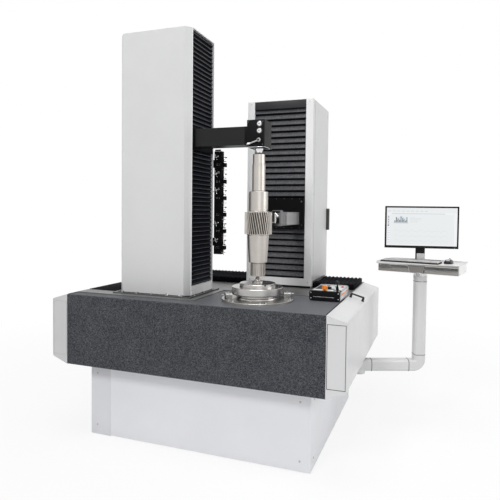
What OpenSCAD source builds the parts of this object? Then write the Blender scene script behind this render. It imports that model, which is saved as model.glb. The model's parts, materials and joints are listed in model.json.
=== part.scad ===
// Gear measuring machine: granite bed on a pedestal, rotary table with a gear shaft held
// between centres, tailstock column at the front left, travelling measuring column at the
// rear, stylus rack, control pendant and a swing-arm console.
// Millimetres. X runs right along the front, Y runs to the back, Z is up.
// The origin is on the floor at the centre of the four floor anchors.

/* [Bed] */
// Width of the granite bed along the front
bed_w = 1900; // [1840:10:2100]
// Depth of the granite bed from front to back
bed_d = 1500; // [1490:10:1700]
// Thickness of the granite bed
bed_h = 505; // [450:5:600]
// Chamfer along the long top edges of the bed
bed_chamfer = 5; // [2:1:8]
// Thickness of the raised plate on the bed
slab_t = 4; // [3:1:8]
// Width of the bare strip of granite at the front right, left of which the plate reaches forward
slab_step_from_right = 940; // [900:5:960]
// Distance of the plate's front tongue from the bed's front
slab_front = 106; // [60:2:130]
// Distance of the plate's long step from the bed's front
slab_step_back = 597; // [585:1:700]

/* [Pedestal] */
// Height of the pedestal from the floor to the underside of the bed
pedestal_h = 540; // [480:5:640]
// Setback of the pedestal from each side of the bed
side_inset = 115; // [80:5:160]
// Setback of the pedestal from the front of the bed
front_inset = 120; // [80:5:180]
// Setback of the pedestal from the back of the bed
rear_inset = 20; // [10:5:120]
// Depth of the folded pedestal panels
panel_fold = 25; // [15:1:40]
// Sheet thickness of panels and casings
sheet_t = 3; // [2:0.5:4]
// Gap under the pedestal panels
panel_lift = 8; // [4:1:15]
// Side of the square frame tubes
frame_tube = 80; // [60:5:100]
// Distance of each floor anchor hole from its levelling screw
anchor_step = 80; // [60:5:90]
// Radius of the floor anchor holes
anchor_r = 9; // [6:0.5:12]
// Width of the foot plates
foot_w = 100; // [80:5:120]
// Thickness of the foot plates
foot_t = 22; // [15:1:30]
// Radius of the levelling screws
foot_screw_r = 15; // [10:1:18]
// Height of the frame above the floor
frame_lift = 60; // [55:1:80]

/* [Side covers] */
// Width of each side cover
cover_w = 127; // [100:1:150]
// Drop of the cover's top towards its outer face
cover_drop = 37; // [20:1:60]
// Rise of the cover's underside towards its outer face
cover_rise = 48; // [20:1:70]
// Corner radius of the covers
cover_r = 15; // [8:1:20]
// Height of the cover's outline below the bed's underside
cover_lip = 0; // [0:1:4]
// Width of the groove round each end door
door_groove = 3; // [2:0.5:5]
// Length of the bow handle on the right cover
handle_l = 90; // [80:1:94]
// Height of the bow handle
handle_h = 34; // [28:1:40]
// Radius of the bow handle's bar
handle_r = 6; // [4:0.5:8]
// Distance of the bow handle from the bed's front
handle_from_front = 720; // [500:10:900]

/* [Rotary table] */
// Distance of the work axis from the bed's right edge
axis_from_right = 558; // [550:1:575]
// Distance of the work axis from the bed's front
axis_from_front = 320; // [310:1:330]
// Radius of the fixed flange ring
ring_r = 247; // [235:1:255]
// Thickness of the fixed flange ring
ring_t = 16; // [12:1:20]
// Outer radius of the bearing sleeve under the ring
sleeve_r = 150; // [140:1:160]
// Depth of the bearing sleeve in the bed
sleeve_l = 300; // [200:5:380]
// Radius of the rotary spindle
spindle_r = 110; // [90:1:125]
// Radial running clearance of round fits
fit_gap = 0.05; // [0.02:0.01:0.08]
// Radius of the rotary table's disc
disc_r = 177; // [170:1:180]
// Thickness of the rotary table's disc
disc_t = 46; // [36:1:56]
// Height of the disc's underside above the bed
disc_lift = 50; // [40:1:55]
// Radius of the rotary table's neck under the disc
neck_r = 140; // [125:1:155]
// Radius of the faceplate
faceplate_r = 124; // [115:1:130]
// Thickness of the faceplate
faceplate_t = 24; // [18:1:30]
// Pitch circle diameter of the fixture bolt holes in the disc
fixture_pcd = 306; // [290:1:315]
// Number of fixture bolt holes
fixture_n = 8; // [4:1:12]
// Radius of the fixture bolt holes
fixture_hole_r = 5; // [3:0.5:6]

/* [Gear shaft] */
// Height of the lower centre above the faceplate
lower_centre_h = 48; // [40:1:60]
// Length of the splined journal
spline_l = 94; // [70:1:110]
// Outer radius of the splined journal
spline_r = 52; // [46:0.5:56]
// Number of splines
spline_n = 24; // [16:1:30]
// Length of the tapered part
taper_l = 193; // [150:1:220]
// Radius of the taper at its lower end
taper_low_r = 65; // [60:1:68]
// Radius of the taper at its upper end
taper_high_r = 75; // [70:1:78]
// Face width of the helical gear
gear_w = 151; // [120:1:170]
// Tip radius of the helical gear
gear_r = 94; // [90:0.5:96]
// Number of gear teeth
gear_n = 35; // [24:1:44]
// Helix angle of the gear teeth
helix = 10; // [5:1:18]
// Length of the upper seat
seat_l = 140; // [120:1:150]
// Radius of the upper seat
seat_r = 66; // [60:1:70]
// Length of the top journal
journal_l = 254; // [230:1:270]
// Radius of the top journal
journal_r = 45; // [40:1:50]

/* [Tailstock column] */
// Distance of the column's centre from the bed's right edge
tail_from_right = 1309; // [1290:1:1330]
// Distance of the column's front from the bed's front
tail_from_front = 183; // [175:1:190]
// Width of the tailstock column
tail_w = 582; // [540:2:600]
// Depth of the tailstock column
tail_d = 413; // [400:1:440]
// Height of the tailstock column above the bed
tail_h = 1876; // [1780:2:2000]
// Width of the chamfered corners
tail_chamfer = 41; // [30:1:50]
// Thickness of the tailstock's base plate
tail_base_t = 8; // [6:1:14]
// Rim of the base plate round the column
tail_base_rim = 26; // [20:1:36]
// Height of the closed strip under the tailstock bellows
tail_sill = 66; // [40:1:90]
// Height of the tailstock arm
arm_h = 124; // [110:1:140]
// Depth of the tailstock arm
arm_d = 122; // [100:1:126]
// Width of the tailstock head
head_w = 128; // [120:1:140]
// Depth of the tailstock head
head_d = 146; // [136:1:160]
// Height of the tailstock head
head_h = 180; // [165:1:200]
// Height of the arm's underside above the head's underside
arm_rise = 16; // [6:1:30]
// Radius of the quill
quill_r = 32; // [26:1:38]
// Length of the quill's tapered nose below the head
nose_l = 36; // [30:1:60]
// Radius of the centre's shank
centre_r = 12; // [9:0.5:16]

/* [Measuring column] */
// Width of the measuring column
column_w = 554; // [540:1:575]
// Depth of the measuring column
column_d = 540; // [520:2:545]
// Distance of the column's front from the bed's front
column_from_front = 942; // [935:1:950]
// Height of the measuring column above the bed
column_h = 1506; // [1430:2:1600]
// Width of each casing strip beside the bellows
strip_w = 60; // [50:1:66]
// Height of the closed strip under the bellows
column_sill = 74; // [64:1:90]
// Height of the bellows' top box
cassette_h = 62; // [50:1:80]
// Offset of the measuring ram from the column's centre
ram_offset = 140; // [120:1:150]
// Offset of the slide plate from the column's centre
plate_offset = 50; // [40:1:52]
// Width of the slide plate
plate_w = 322; // [310:1:326]
// Height of the slide plate
plate_h = 247; // [230:1:260]
// Thickness of the slide plate
plate_t = 20; // [14:1:26]
// Width of the measuring ram
ram_w = 80; // [70:1:84]
// Height of the measuring ram
ram_h = 98; // [88:1:104]
// Width of the probe head
probe_w = 64; // [56:1:68]
// Depth of the probe head
probe_d = 52; // [44:1:54]
// Height of the probe head
probe_h = 90; // [80:1:98]
// Sideways distance from the work axis to the probe head's centre
probe_offset = 109; // [108:1:112]
// Distance of the probe head's front behind the work axis
probe_setback = 64; // [62:1:68]
// Radius of the ruby ball
ruby_r = 3; // [2:0.5:4]

/* [Slides and bellows] */
// Width of the guide rails
rail_w = 45; // [35:1:50]
// Height of the guide rails
rail_h = 36; // [30:1:40]
// Clearance of the runner blocks on the rails
slide_gap = 0.3; // [0.2:0.05:0.5]
// Width of the linear motors' magnet tracks
track_w = 70; // [50:2:80]
// Air gap of the linear motors
air_gap = 0.8; // [0.5:0.1:0.9]
// Pitch of the upright bellows' folds
fold_pitch = 52; // [40:1:60]
// Depth of the folds
fold_depth = 14; // [8:1:18]
// Height of the bellows on the bed
bed_bellows_h = 50; // [46:1:54]
// Pitch of the folds on the bed
bed_fold_pitch = 32; // [24:1:40]

/* [Stylus rack] */
// Number of stylus stations
rack_n = 6; // [4:1:7]
// Pitch of the stylus stations
rack_pitch = 127; // [120:1:145]
// Height of the lowest station above the bed
rack_low = 338; // [200:5:340]
// Width of the rack bar
rack_w = 62; // [50:1:70]
// Depth of the rack bar
rack_d = 40; // [30:1:50]

/* [Pendant] */
// Width of the control pendant
pendant_w = 215; // [200:1:230]
// Length of the control pendant
pendant_l = 330; // [300:1:380]
// Height of the control pendant
pendant_h = 72; // [60:1:84]
// Thickness of the pendant's end caps
cap_t = 24; // [16:1:34]
// Radius of the end caps' corners
cap_round = 14; // [8:1:20]
// Distance of the pendant from the bed's right edge
pendant_from_right = 7; // [5:1:20]
// Distance of the pendant from the bed's front
pendant_from_front = 441; // [400:1:470]

/* [Console] */
// Distance of the arm's pivot from the bed's right edge
pivot_out = 60; // [52:1:66]
// Distance of the arm's pivot from the bed's front
pivot_from_front = 892; // [800:2:960]
// Height of the arm's tube above the floor
arm_tube_z = 500; // [460:1:502]
// Half of the arm profile's width
tube_r = 42; // [36:1:43]
// Width of the arm profile's chamfers
arm_chamfer = 13; // [8:1:16]
// Length of the elbow from the profile's centre line to its seams
elbow_l = 84; // [70:1:110]
// Thickness of the pivot's bracket
bracket_t = 18; // [14:1:40]
// Length of the pivot's casting up to its seam
knuckle_l = 88; // [75:1:120]
// Reach of the arm from its pivot to the post
arm_reach = 459; // [440:1:520]
// Heading of the arm at rest, from X towards Y
arm_heading = 21.5; // [0:0.5:30]
// Height of the tray's top above the floor
tray_z = 1285; // [1200:5:1350]
// Width of the console tray
tray_w = 604; // [560:2:640]
// Depth of the console tray
tray_d = 350; // [330:2:380]
// Height of the tray's side plates
tray_side_h = 68; // [60:1:90]
// Turn of the tray at rest
tray_turn = -13; // [-20:1:0]
// Width of the keyboard
keyboard_w = 430; // [400:5:436]
// Width of the monitor
monitor_w = 540; // [500:2:600]
// Height of the monitor
monitor_h = 318; // [290:2:340]
// Thickness of the monitor
monitor_t = 22; // [16:1:30]
// Height of the monitor's lower edge above the tray
monitor_lift = 107; // [95:1:130]
// Turn of the monitor against the tray
monitor_turn = 23; // [10:1:30]

/* [Hidden] */
$fn = 64;

// Pedestal and bed
ped_w = bed_w - 2 * side_inset;
ped_d = bed_d - front_inset - rear_inset;
front_y = -ped_d / 2 - front_inset;
back_y = front_y + bed_d;
right_x = bed_w / 2;
top_z = pedestal_h + bed_h;
slab_z = top_z + slab_t;
panel_h = pedestal_h - panel_lift - 2;
frame_x = ped_w / 2 - panel_fold;
frame_y = ped_d / 2 - panel_fold;
foot_x = frame_x - frame_tube / 2 - 10;
foot_y = frame_y - frame_tube / 2 - 10;
foot_screw_l = frame_lift - foot_t + 50;
anchor_x = foot_x - anchor_step;
cover_h = bed_h + cover_lip;
cover_slope = atan(cover_drop / cover_w);

// Work axis and gear shaft, from the faceplate up
axis_x = right_x - axis_from_right;
axis_y = front_y + axis_from_front;
faceplate_z = top_z + disc_lift + disc_t;
shaft_z = faceplate_z + faceplate_t + lower_centre_h;
gear_z = shaft_z + spline_l + taper_l;
shaft_l = spline_l + taper_l + gear_w + seat_l + journal_l;
shaft_top = shaft_z + shaft_l;
centre_bite = 8;
centre_gap = 0.5;

// Tailstock: casing, sliding parts and head
tail_x = right_x - tail_from_right;
tail_right = tail_x + tail_w / 2;
tail_y = front_y + tail_from_front;
tail_mid_y = tail_y + tail_d / 2;
tail_z = slab_z + tail_base_t;
tail_top = top_z + tail_h;
win_y0 = tail_y + tail_chamfer;
win_y1 = tail_y + tail_d - tail_chamfer;
win_z0 = tail_z + tail_sill;
win_z1 = tail_top - 2 * sheet_t;
head_z = shaft_top + centre_bite + nose_l;
arm_z = head_z + arm_rise;
arm_mid_z = arm_z + arm_h / 2;
bellows_set = 4;
bellows_back = fold_depth + 6;
block_t = 84;
beam_face = tail_right - bellows_set - bellows_back - block_t - 20;
tail_plate_h = arm_h + 40;
head_front = axis_y - head_d / 2;
knob_x = axis_x + 29;
lever_z = head_z + 42;
button_low_z = head_z + 105;
button_step = 46;
button_r = 16;
button_stem_r = 7;
lever_pin_r = 8;

// Measuring column, placed by the probe's contact with the gear
probe_x = axis_x + probe_offset;
probe_front = axis_y + probe_setback;
ram_front = probe_front + probe_d;
ram_x = probe_x - 26;
column_x = ram_x - ram_offset;
column_left = column_x - column_w / 2;
column_right = column_x + column_w / 2;
column_y = front_y + column_from_front;
column_back = column_y + column_d;
column_top = top_z + column_h;
gear_mid_z = gear_z + gear_w / 2;
ram_z = gear_mid_z + 30;
plate_z0 = ram_z - plate_h * 0.34;
sill_z = slab_z + column_sill;
saddle_top = sill_z - 4;
column_beam_w = 290;
column_beam_d = 320;
column_beam_x = column_x - 210;
column_rail_x = [column_x - 160, column_x + 30];
column_beam_y = column_y + bellows_set + bellows_back + block_t + 30;
rail_y = [column_y + 105, column_back - 105];
tunnel_y0 = rail_y[0] - 60;
tunnel_y1 = rail_y[1] + 60;
ram_l = 600;
ram_gap = 0.2;

// Console
pivot_x = right_x + pivot_out;
pivot_y = front_y + pivot_from_front;
post_x = pivot_x + arm_reach * cos(arm_heading);
post_y = pivot_y + arm_reach * sin(arm_heading);
hub_r = tube_r + 4;
hub_z = arm_tube_z - 45;
pivot_r = 15;
tray_pin_r = 20;
seam = 3;
tray_hub_r = 50;
tray_shelf_z = tray_z - tray_side_h - 6;
post_top = tray_shelf_z - 28;
tray_front = 130;
monitor_z = tray_z + monitor_lift;
tilt_z = monitor_z + monitor_h * 0.48;
tilt_pin_r = 8;
tilt_y = 37;

// Pendant
pendant_x = right_x - pendant_from_right - pendant_w / 2;
pendant_y = front_y + pendant_from_front;
pendant_z = top_z + pendant_h;
stop_at = [pendant_x - 8, pendant_y + 45];
stick_at = [pendant_x + 80, pendant_y + 44];
stick_z = pendant_z - 14;
key_at = [[pendant_x + 39, pendant_y + 211], [pendant_x + 82, pendant_y + 229]];

// Point along a round corner b between the lines from a and to c
function unit(v) = v / norm(v);
function corner(a, b, c, r, n = 6) =
    let (u = unit(a - b), v = unit(c - b), half = acos(u * v) / 2,
         m = b + unit(u + v) * r / sin(half), s = b + u * r / tan(half) - m,
         e = b + v * r / tan(half) - m, a0 = atan2(s[1], s[0]),
         turn = (atan2(e[1], e[0]) - a0 + 900) % 360 - 180)
    [for (i = [0:n]) m + r * [cos(a0 + turn * i / n), sin(a0 + turn * i / n)]];

// Outline of a side cover, with its inner face at x 0 and its top at y 0, moved in by k
function cover_outline(k) =
    let (w = cover_w - k, top = k * norm([1, cover_drop / cover_w]),
         low = k * norm([1, cover_rise / cover_w]),
         a = [k, -cover_drop * k / cover_w - top], b = [w, -cover_drop * w / cover_w - top],
         c = [w, -cover_h + cover_rise * w / cover_w + low],
         d = [k, -cover_h + cover_rise * k / cover_w + low])
    concat([a], corner(a, b, c, cover_r - k), corner(b, c, d, cover_r - k), [d]);

// Rectangle with its corners cut off, centred on x 0 and y 0
function cut_box(w, d, c) = [
    [-w / 2 + c, -d / 2], [w / 2 - c, -d / 2], [w / 2, -d / 2 + c], [w / 2, d / 2 - c],
    [w / 2 - c, d / 2], [-w / 2 + c, d / 2], [-w / 2, d / 2 - c], [-w / 2, -d / 2 + c]
];

// Upright run of folds: back at y 0, fold tips towards -y, from z 0 to l
function fold_points(l, pitch, depth, back) =
    let (n = max(2, round(l / pitch)))
    concat([[0, 0], [0, l]],
           [for (i = [n:-1:0]) each [
               if (i < n) [-back - depth, (i + 0.5) * l / n],
               [-back, i * l / n]]]);

// Involute of the gear's base circle, as an angle in degrees at radius r
gear_module = 2 * gear_r / (gear_n + 2);
pitch_r = gear_module * gear_n / 2;
base_r = pitch_r * cos(20);
root_r = pitch_r - 1.2 * gear_module;
function involute(r) = let (a = acos(min(1, base_r / r))) tan(a) * 180 / PI - a;
function flank(r) = 90 / gear_n + involute(pitch_r) - involute(max(r, base_r));
function gear_points() =
    let (radii = [root_r, base_r, pitch_r, gear_r])
    [for (i = [0:gear_n - 1], side = [-1, 1], k = [0:3])
        let (r = radii[side < 0 ? k : 3 - k], a = 360 * i / gear_n + side * flank(r))
        r * [cos(a), sin(a)]];
function spline_points() =
    [for (i = [0:spline_n - 1], p = [[-0.24, 0], [-0.2, 1], [0.2, 1], [0.24, 0]])
        let (r = spline_r - 5 + 5 * p[1], a = 360 * (i + p[0]) / spline_n)
        r * [cos(a), sin(a)]];

// Folded sheet panel standing along x, outer face at y 0, folds towards y
module pan(w, h) {
    difference() {
        cube([w, panel_fold, h]);
        translate([sheet_t, sheet_t, sheet_t])
            cube([w - 2 * sheet_t, panel_fold, h - 2 * sheet_t]);
    }
}

// Guide rail along x, foot at z 0
module rail(l) {
    w = rail_w / 2;
    rotate([90, 0, 90]) linear_extrude(l) polygon([
        [-w, 0], [w, 0], [w, rail_h * 0.3], [w * 0.75, rail_h * 0.45], [w * 0.75, rail_h * 0.6],
        [w, rail_h * 0.75], [w, rail_h - 2], [w - 2, rail_h], [2 - w, rail_h], [-w, rail_h - 2],
        [-w, rail_h * 0.75], [-w * 0.75, rail_h * 0.6], [-w * 0.75, rail_h * 0.45],
        [-w, rail_h * 0.3]]);
}

// Space that a rail needs in what runs on it, along x
module rail_space(l) {
    translate([-1, -rail_w / 2 - slide_gap, -1])
        cube([l + 2, rail_w + 2 * slide_gap, rail_h + slide_gap + 1]);
}

// Turns what lies along x with its top up so that it stands along z and faces x or -y
module upright_x() { rotate([0, 0, 180]) rotate([0, -90, 0]) children(); }
module upright_y() { rotate([0, 0, 90]) rotate([0, -90, 0]) children(); }

// Socket head screw with the underside of its head at z 0
module socket_screw(l) {
    difference() {
        union() {
            cylinder(r = 8.5, h = 10, $fn = 32);
            translate([0, 0, -l]) cylinder(r = 5, h = l, $fn = 32);
        }
        translate([0, 0, 5]) cylinder(r = 4.6, h = 6, $fn = 6);
    }
}

module base_frame() {
    color("slategray") difference() {
        union() {
            for (z = [frame_lift, pedestal_h - frame_tube]) translate([0, 0, z]) {
                for (s = [-1, 1]) {
                    translate([-frame_x, s * (frame_y - frame_tube / 2) - frame_tube / 2, 0])
                        cube([2 * frame_x, frame_tube, frame_tube]);
                    translate([s * (frame_x - frame_tube / 2) - frame_tube / 2, -frame_y, 0])
                        cube([frame_tube, 2 * frame_y, frame_tube]);
                }
                translate([-frame_tube / 2, -frame_y, 0])
                    cube([frame_tube, 2 * frame_y, frame_tube]);
            }
            for (x = [-1, 0, 1], y = [-1, 1])
                translate([x * (frame_x - frame_tube / 2) - frame_tube / 2,
                           y * (frame_y - frame_tube / 2) - frame_tube / 2, frame_lift])
                    cube([frame_tube, frame_tube, pedestal_h - frame_lift]);
        }
        for (x = [-1, 0, 1], y = [-1, 1]) translate([x * foot_x, y * foot_y, frame_lift - 1])
            cylinder(r = foot_screw_r + fit_gap, h = 61);
    }
}

module levelling_feet() {
    color("dimgray") for (x = [-1, 0, 1], y = [-1, 1]) translate([x * foot_x, y * foot_y, 0]) {
        difference() {
            translate([x > 0 ? -anchor_step - 30 : -45, -foot_w / 2, 0])
                cube([x == 0 ? 90 : anchor_step + 75, foot_w, foot_t]);
            if (x != 0) translate([-x * anchor_step, 0, -1])
                cylinder(r = anchor_r, h = foot_t + 2);
        }
        translate([0, 0, foot_t]) cylinder(r = foot_screw_r, h = foot_screw_l);
        translate([0, 0, foot_t]) cylinder(r = foot_screw_r * 1.8, h = 16, $fn = 6);
    }
}

module pedestal_front_panel() {
    color("lightgray") translate([-ped_w / 2, -ped_d / 2, panel_lift]) pan(ped_w, panel_h);
}

module pedestal_side_panels() {
    side_l = ped_d - 2 * panel_fold;
    color("lightgray") {
        translate([ped_w / 2, ped_d / 2, panel_lift]) rotate([0, 0, 180]) pan(ped_w, panel_h);
        translate([ped_w / 2, -side_l / 2, panel_lift]) rotate([0, 0, 90]) pan(side_l, panel_h);
        translate([-ped_w / 2, side_l / 2, panel_lift]) rotate([0, 0, -90]) pan(side_l, panel_h);
    }
}

module granite_bed() {
    c = bed_chamfer;
    color("dimgray") difference() {
        translate([-right_x, 0, 0]) rotate([90, 0, 90]) linear_extrude(bed_w) polygon([
            [front_y, pedestal_h + c], [front_y + c, pedestal_h], [back_y - c, pedestal_h],
            [back_y, pedestal_h + c], [back_y, top_z - c], [back_y - c, top_z],
            [front_y + c, top_z], [front_y, top_z - c]]);
        translate([axis_x, axis_y, top_z - sleeve_l - 20])
            cylinder(r = sleeve_r + 0.3, h = sleeve_l + 21);
    }
}

module table_plate() {
    step_x = right_x - slab_step_from_right;
    color("gray") translate([0, 0, top_z]) linear_extrude(slab_t) polygon([
        [-right_x, front_y + slab_front], [step_x, front_y + slab_front],
        [step_x, front_y + slab_step_back], [right_x, front_y + slab_step_back],
        [right_x, back_y - bed_chamfer], [-right_x, back_y - bed_chamfer]]);
}

module side_cover() {
    translate([right_x, back_y, top_z]) rotate([90, 0, 0]) linear_extrude(bed_d) difference() {
        polygon(cover_outline(0));
        polygon(cover_outline(sheet_t));
    }
}

module right_side_cover() { color("whitesmoke") side_cover(); }
module left_side_cover() { color("whitesmoke") mirror([1, 0, 0]) side_cover(); }

// Plate that closes one end of a side cover, with a door outlined by a groove
module end_door() {
    door_h = cover_h - cover_drop - cover_rise - 30;
    difference() {
        translate([0, sheet_t * 2, 0]) rotate([90, 0, 0]) linear_extrude(sheet_t + 2)
            polygon(cover_outline(sheet_t));
        translate([sheet_t + 2, 0, -cover_drop - 15 - door_h]) difference() {
            cube([cover_w - 2 * sheet_t - 6, sheet_t, door_h]);
            translate([door_groove, -1, door_groove])
                cube([cover_w - 2 * sheet_t - 6 - 2 * door_groove, 9, door_h - 2 * door_groove]);
        }
    }
}

module cover_end_doors() {
    color("white") for (side = [0, 1]) mirror([side, 0, 0]) {
        translate([right_x, front_y, top_z]) end_door();
        translate([right_x, back_y, top_z]) mirror([0, 1, 0]) end_door();
    }
}

module cover_handle() {
    color("silver") translate([right_x, front_y + handle_from_front, top_z])
        rotate([0, cover_slope, 0]) translate([18, 0, 0]) {
            for (x = [0, handle_l]) translate([x, 0, 0]) {
                cylinder(r1 = handle_r + 4, r2 = handle_r + 1, h = handle_h - handle_r);
                translate([0, 0, handle_h - handle_r]) sphere(r = handle_r + 1);
            }
            translate([0, 0, handle_h - handle_r]) rotate([0, 90, 0])
                cylinder(r = handle_r, h = handle_l);
        }
}

module guide_rails() {
    color("silver") {
        for (y = rail_y) translate([-right_x + 12, y, slab_z]) rail(bed_w - 24);
        for (y = [-95, 95]) translate([beam_face, tail_mid_y + y, tail_z + 40])
            upright_x() rail(tail_top - tail_z - 120);
    }
}

// Tunnel of folds over the rails on the bed, along x from 0 to l
module bed_bellows(l) {
    w = tunnel_y1 - tunnel_y0;
    n = max(2, round(l / bed_fold_pitch));
    h = bed_bellows_h;
    difference() {
        translate([0, w, 0]) rotate([90, 0, 0]) linear_extrude(w)
            polygon(concat([[0, slide_gap], [l, slide_gap]], [for (i = [n:-1:0]) each [
                [i * l / n, h - 8], if (i > 0) [(i - 0.5) * l / n, h]]]));
        translate([-1, 4, -1]) cube([l + 2, w - 8, h - 10]);
    }
}

module x_bellows_left() {
    l = column_left + right_x - 8 - slide_gap;
    color("black") translate([8 - right_x, tunnel_y0, slab_z]) bed_bellows(l);
}

module x_bellows_right() {
    x = column_right + slide_gap;
    color("black") translate([x, tunnel_y0, slab_z]) bed_bellows(right_x - 8 - x);
}

// Places the flange ring's screws, in pairs
module ring_places() {
    for (a = [0:60:300], b = [-5, 5]) rotate([0, 0, a + b]) translate([ring_r - 18, 0, 0])
        children();
}

module rotary_housing() {
    bore = spindle_r + fit_gap;
    color("silver") translate([axis_x, axis_y, top_z]) difference() {
        rotate_extrude($fn = 128) polygon([
            [bore, -sleeve_l], [sleeve_r, -sleeve_l], [sleeve_r, 0], [ring_r, 0],
            [ring_r, ring_t - 3], [ring_r - 3, ring_t], [bore, ring_t]]);
        ring_places() translate([0, 0, -1]) cylinder(r = 5.5, h = ring_t + 2);
    }
}

// Places the screws along the front and right rims of the tailstock's base plate
module base_places() {
    rim = tail_base_rim / 2;
    for (t = [0.08, 0.29, 0.5, 0.71, 0.92])
        translate([tail_x + (t - 0.5) * tail_w, tail_y - rim, 0]) children();
    for (t = [0.15, 0.5, 0.85])
        translate([tail_right + rim, tail_y + t * tail_d, 0]) children();
}

module socket_screws() {
    color("silver") {
        translate([axis_x, axis_y, top_z + ring_t]) ring_places() socket_screw(ring_t - 1);
        translate([0, 0, tail_z]) base_places() socket_screw(tail_base_t - 1);
    }
}

module table_clamps() {
    d = 44;
    color("gray") translate([axis_x, axis_y, top_z + ring_t]) for (a = [22, 217])
        rotate([0, 0, a]) translate([disc_r + 6, -25, 0]) difference() {
            rotate([90, 0, 90]) linear_extrude(d) polygon([
                [0, 0], [50, 0], [50, 30], [40, 40], [10, 40], [0, 30]]);
            translate([d / 2, 25, 28]) cylinder(r = 8, h = 14);
            translate([-1, 22, 20]) cube([12, 6, 30]);
        }
}

module rotary_table() {
    low = -sleeve_l + 8;
    top = disc_lift + disc_t;
    color("lightsteelblue") translate([axis_x, axis_y, top_z]) difference() {
        rotate_extrude($fn = 128) polygon([
            [0, low], [spindle_r, low], [spindle_r, ring_t + 0.4], [neck_r, ring_t + 0.4],
            [neck_r, disc_lift - 6], [neck_r + 6, disc_lift], [disc_r - 3, disc_lift],
            [disc_r, disc_lift + 3], [disc_r, top - 3], [disc_r - 3, top], [0, top]]);
        for (i = [0:fixture_n - 1]) rotate([0, 0, 360 / fixture_n * i])
            translate([fixture_pcd / 2, 0, top - 25]) cylinder(r = fixture_hole_r, h = 26);
    }
}

module faceplate() {
    color("silver") translate([axis_x, axis_y, faceplate_z]) difference() {
        rotate_extrude($fn = 128) polygon([
            [20 + fit_gap, 0], [faceplate_r, 0], [faceplate_r, faceplate_t - 3],
            [faceplate_r - 3, faceplate_t], [20 + fit_gap, faceplate_t]]);
        for (a = [45:90:315]) rotate([0, 0, a]) translate([50, -6, faceplate_t - 9])
            cube([faceplate_r, 12, 10]);
    }
}

// Cone point with its tip at z 0, reaching down to the cone's base of radius r
function cone_base(r) = -r / tan(30);

module lower_centre() {
    tip = lower_centre_h + centre_bite;
    base = tip + cone_base(22);
    color("silver") translate([axis_x, axis_y, faceplate_z + faceplate_t])
        rotate_extrude() polygon([
            [0, -20], [18, -20], [20, -18], [20, 0], [38, 0], [38, base - 8], [34, base - 4],
            [22, base - 4], [22, base], [0, tip]]);
}

module gear_shaft() {
    s = [for (l = [0, spline_l, taper_l, gear_w, seat_l, journal_l]) l];
    z1 = s[1];
    z2 = z1 + s[2];
    z3 = z2 + s[3];
    z4 = z3 + s[4];
    z5 = z4 + s[5];
    hole = centre_bite + centre_gap;
    hole_r = hole * tan(30);
    c = 2;
    color("lightgray") translate([axis_x, axis_y, shaft_z]) {
        rotate_extrude() polygon([
            [0, hole], [hole_r, 0], [spline_r - 7, 0], [spline_r - 5, c], [spline_r - 5, z1 - 6],
            [spline_r - 9, z1 - 4], [spline_r - 9, z1], [taper_low_r - c, z1],
            [taper_low_r, z1 + c], [taper_high_r, z2 - 8], [root_r - 6, z2 - 4],
            [root_r - 6, z3 + 4], [seat_r, z3 + 8], [seat_r, z4 - c], [seat_r - c, z4],
            [journal_r - 2, z4], [journal_r - 2, z4 + 5], [journal_r, z4 + 7],
            [journal_r, z5 - 70], [journal_r - 3, z5 - 68], [journal_r - 3, z5 - c],
            [journal_r - 5, z5], [hole_r, z5], [0, z5 - hole]]);
        difference() {
            translate([0, 0, 4]) linear_extrude(z1 - 14) polygon(spline_points());
            translate([0, 0, 1]) cylinder(r = spline_r - 6, h = z1);
        }
        difference() {
            translate([0, 0, z2]) linear_extrude(gear_w, slices = 6,
                twist = tan(helix) * gear_w / pitch_r * 180 / PI) polygon(gear_points());
            translate([0, 0, z2 - 1]) cylinder(r = root_r - 7, h = gear_w + 2);
        }
    }
}

module tailstock_base() {
    color("dimgray") difference() {
        translate([tail_x - tail_w / 2 - tail_base_rim, tail_y - tail_base_rim, slab_z])
            cube([tail_w + 2 * tail_base_rim, tail_d + 2 * tail_base_rim, tail_base_t]);
        translate([0, 0, slab_z - 1]) base_places() cylinder(r = 5.5, h = tail_base_t + 2);
    }
}

module tailstock_housing() {
    h = tail_top - tail_z;
    fold = 22;
    color("whitesmoke") difference() {
        translate([tail_x, tail_mid_y, tail_z]) union() {
            linear_extrude(h) difference() {
                polygon(cut_box(tail_w, tail_d, tail_chamfer));
                polygon(cut_box(tail_w - 2 * sheet_t, tail_d - 2 * sheet_t,
                                tail_chamfer - sheet_t * 0.6));
            }
            translate([0, 0, h - sheet_t]) linear_extrude(sheet_t)
                polygon(cut_box(tail_w, tail_d, tail_chamfer));
            for (y = [win_y0 - sheet_t, win_y1])
                translate([tail_w / 2 - fold, y - tail_mid_y, 0]) cube([fold, sheet_t, h]);
            translate([tail_w / 2 - fold, win_y0 - tail_mid_y, win_z0 - tail_z - sheet_t])
                cube([fold, win_y1 - win_y0, sheet_t]);
        }
        translate([tail_right - fold - 1, win_y0, win_z0])
            cube([fold + 2, win_y1 - win_y0, win_z1 - win_z0]);
    }
}

// Magnet track of a linear motor along x, foot at z 0
module motor_track(l) {
    n = floor((l - 20) / 60);
    translate([0, -track_w / 2, 0]) cube([l, track_w, 12]);
    for (i = [0:n - 1]) translate([14 + i * 60, -track_w / 2 + 6, 12])
        cube([48, track_w - 12, 4]);
}

module tailstock_beam() {
    h = tail_top - tail_z - 60;
    color("slategray") translate([beam_face - 190, tail_mid_y - 140, tail_z]) difference() {
        cube([190, 280, h]);
        for (z = [120:400:h - 400]) translate([40, -1, z])
            cube([110, 282, 300]);
    }
}

module tailstock_motor_track() {
    color("goldenrod") translate([beam_face, tail_mid_y, tail_z + 60])
        upright_x() motor_track(tail_top - tail_z - 160);
}

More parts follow.
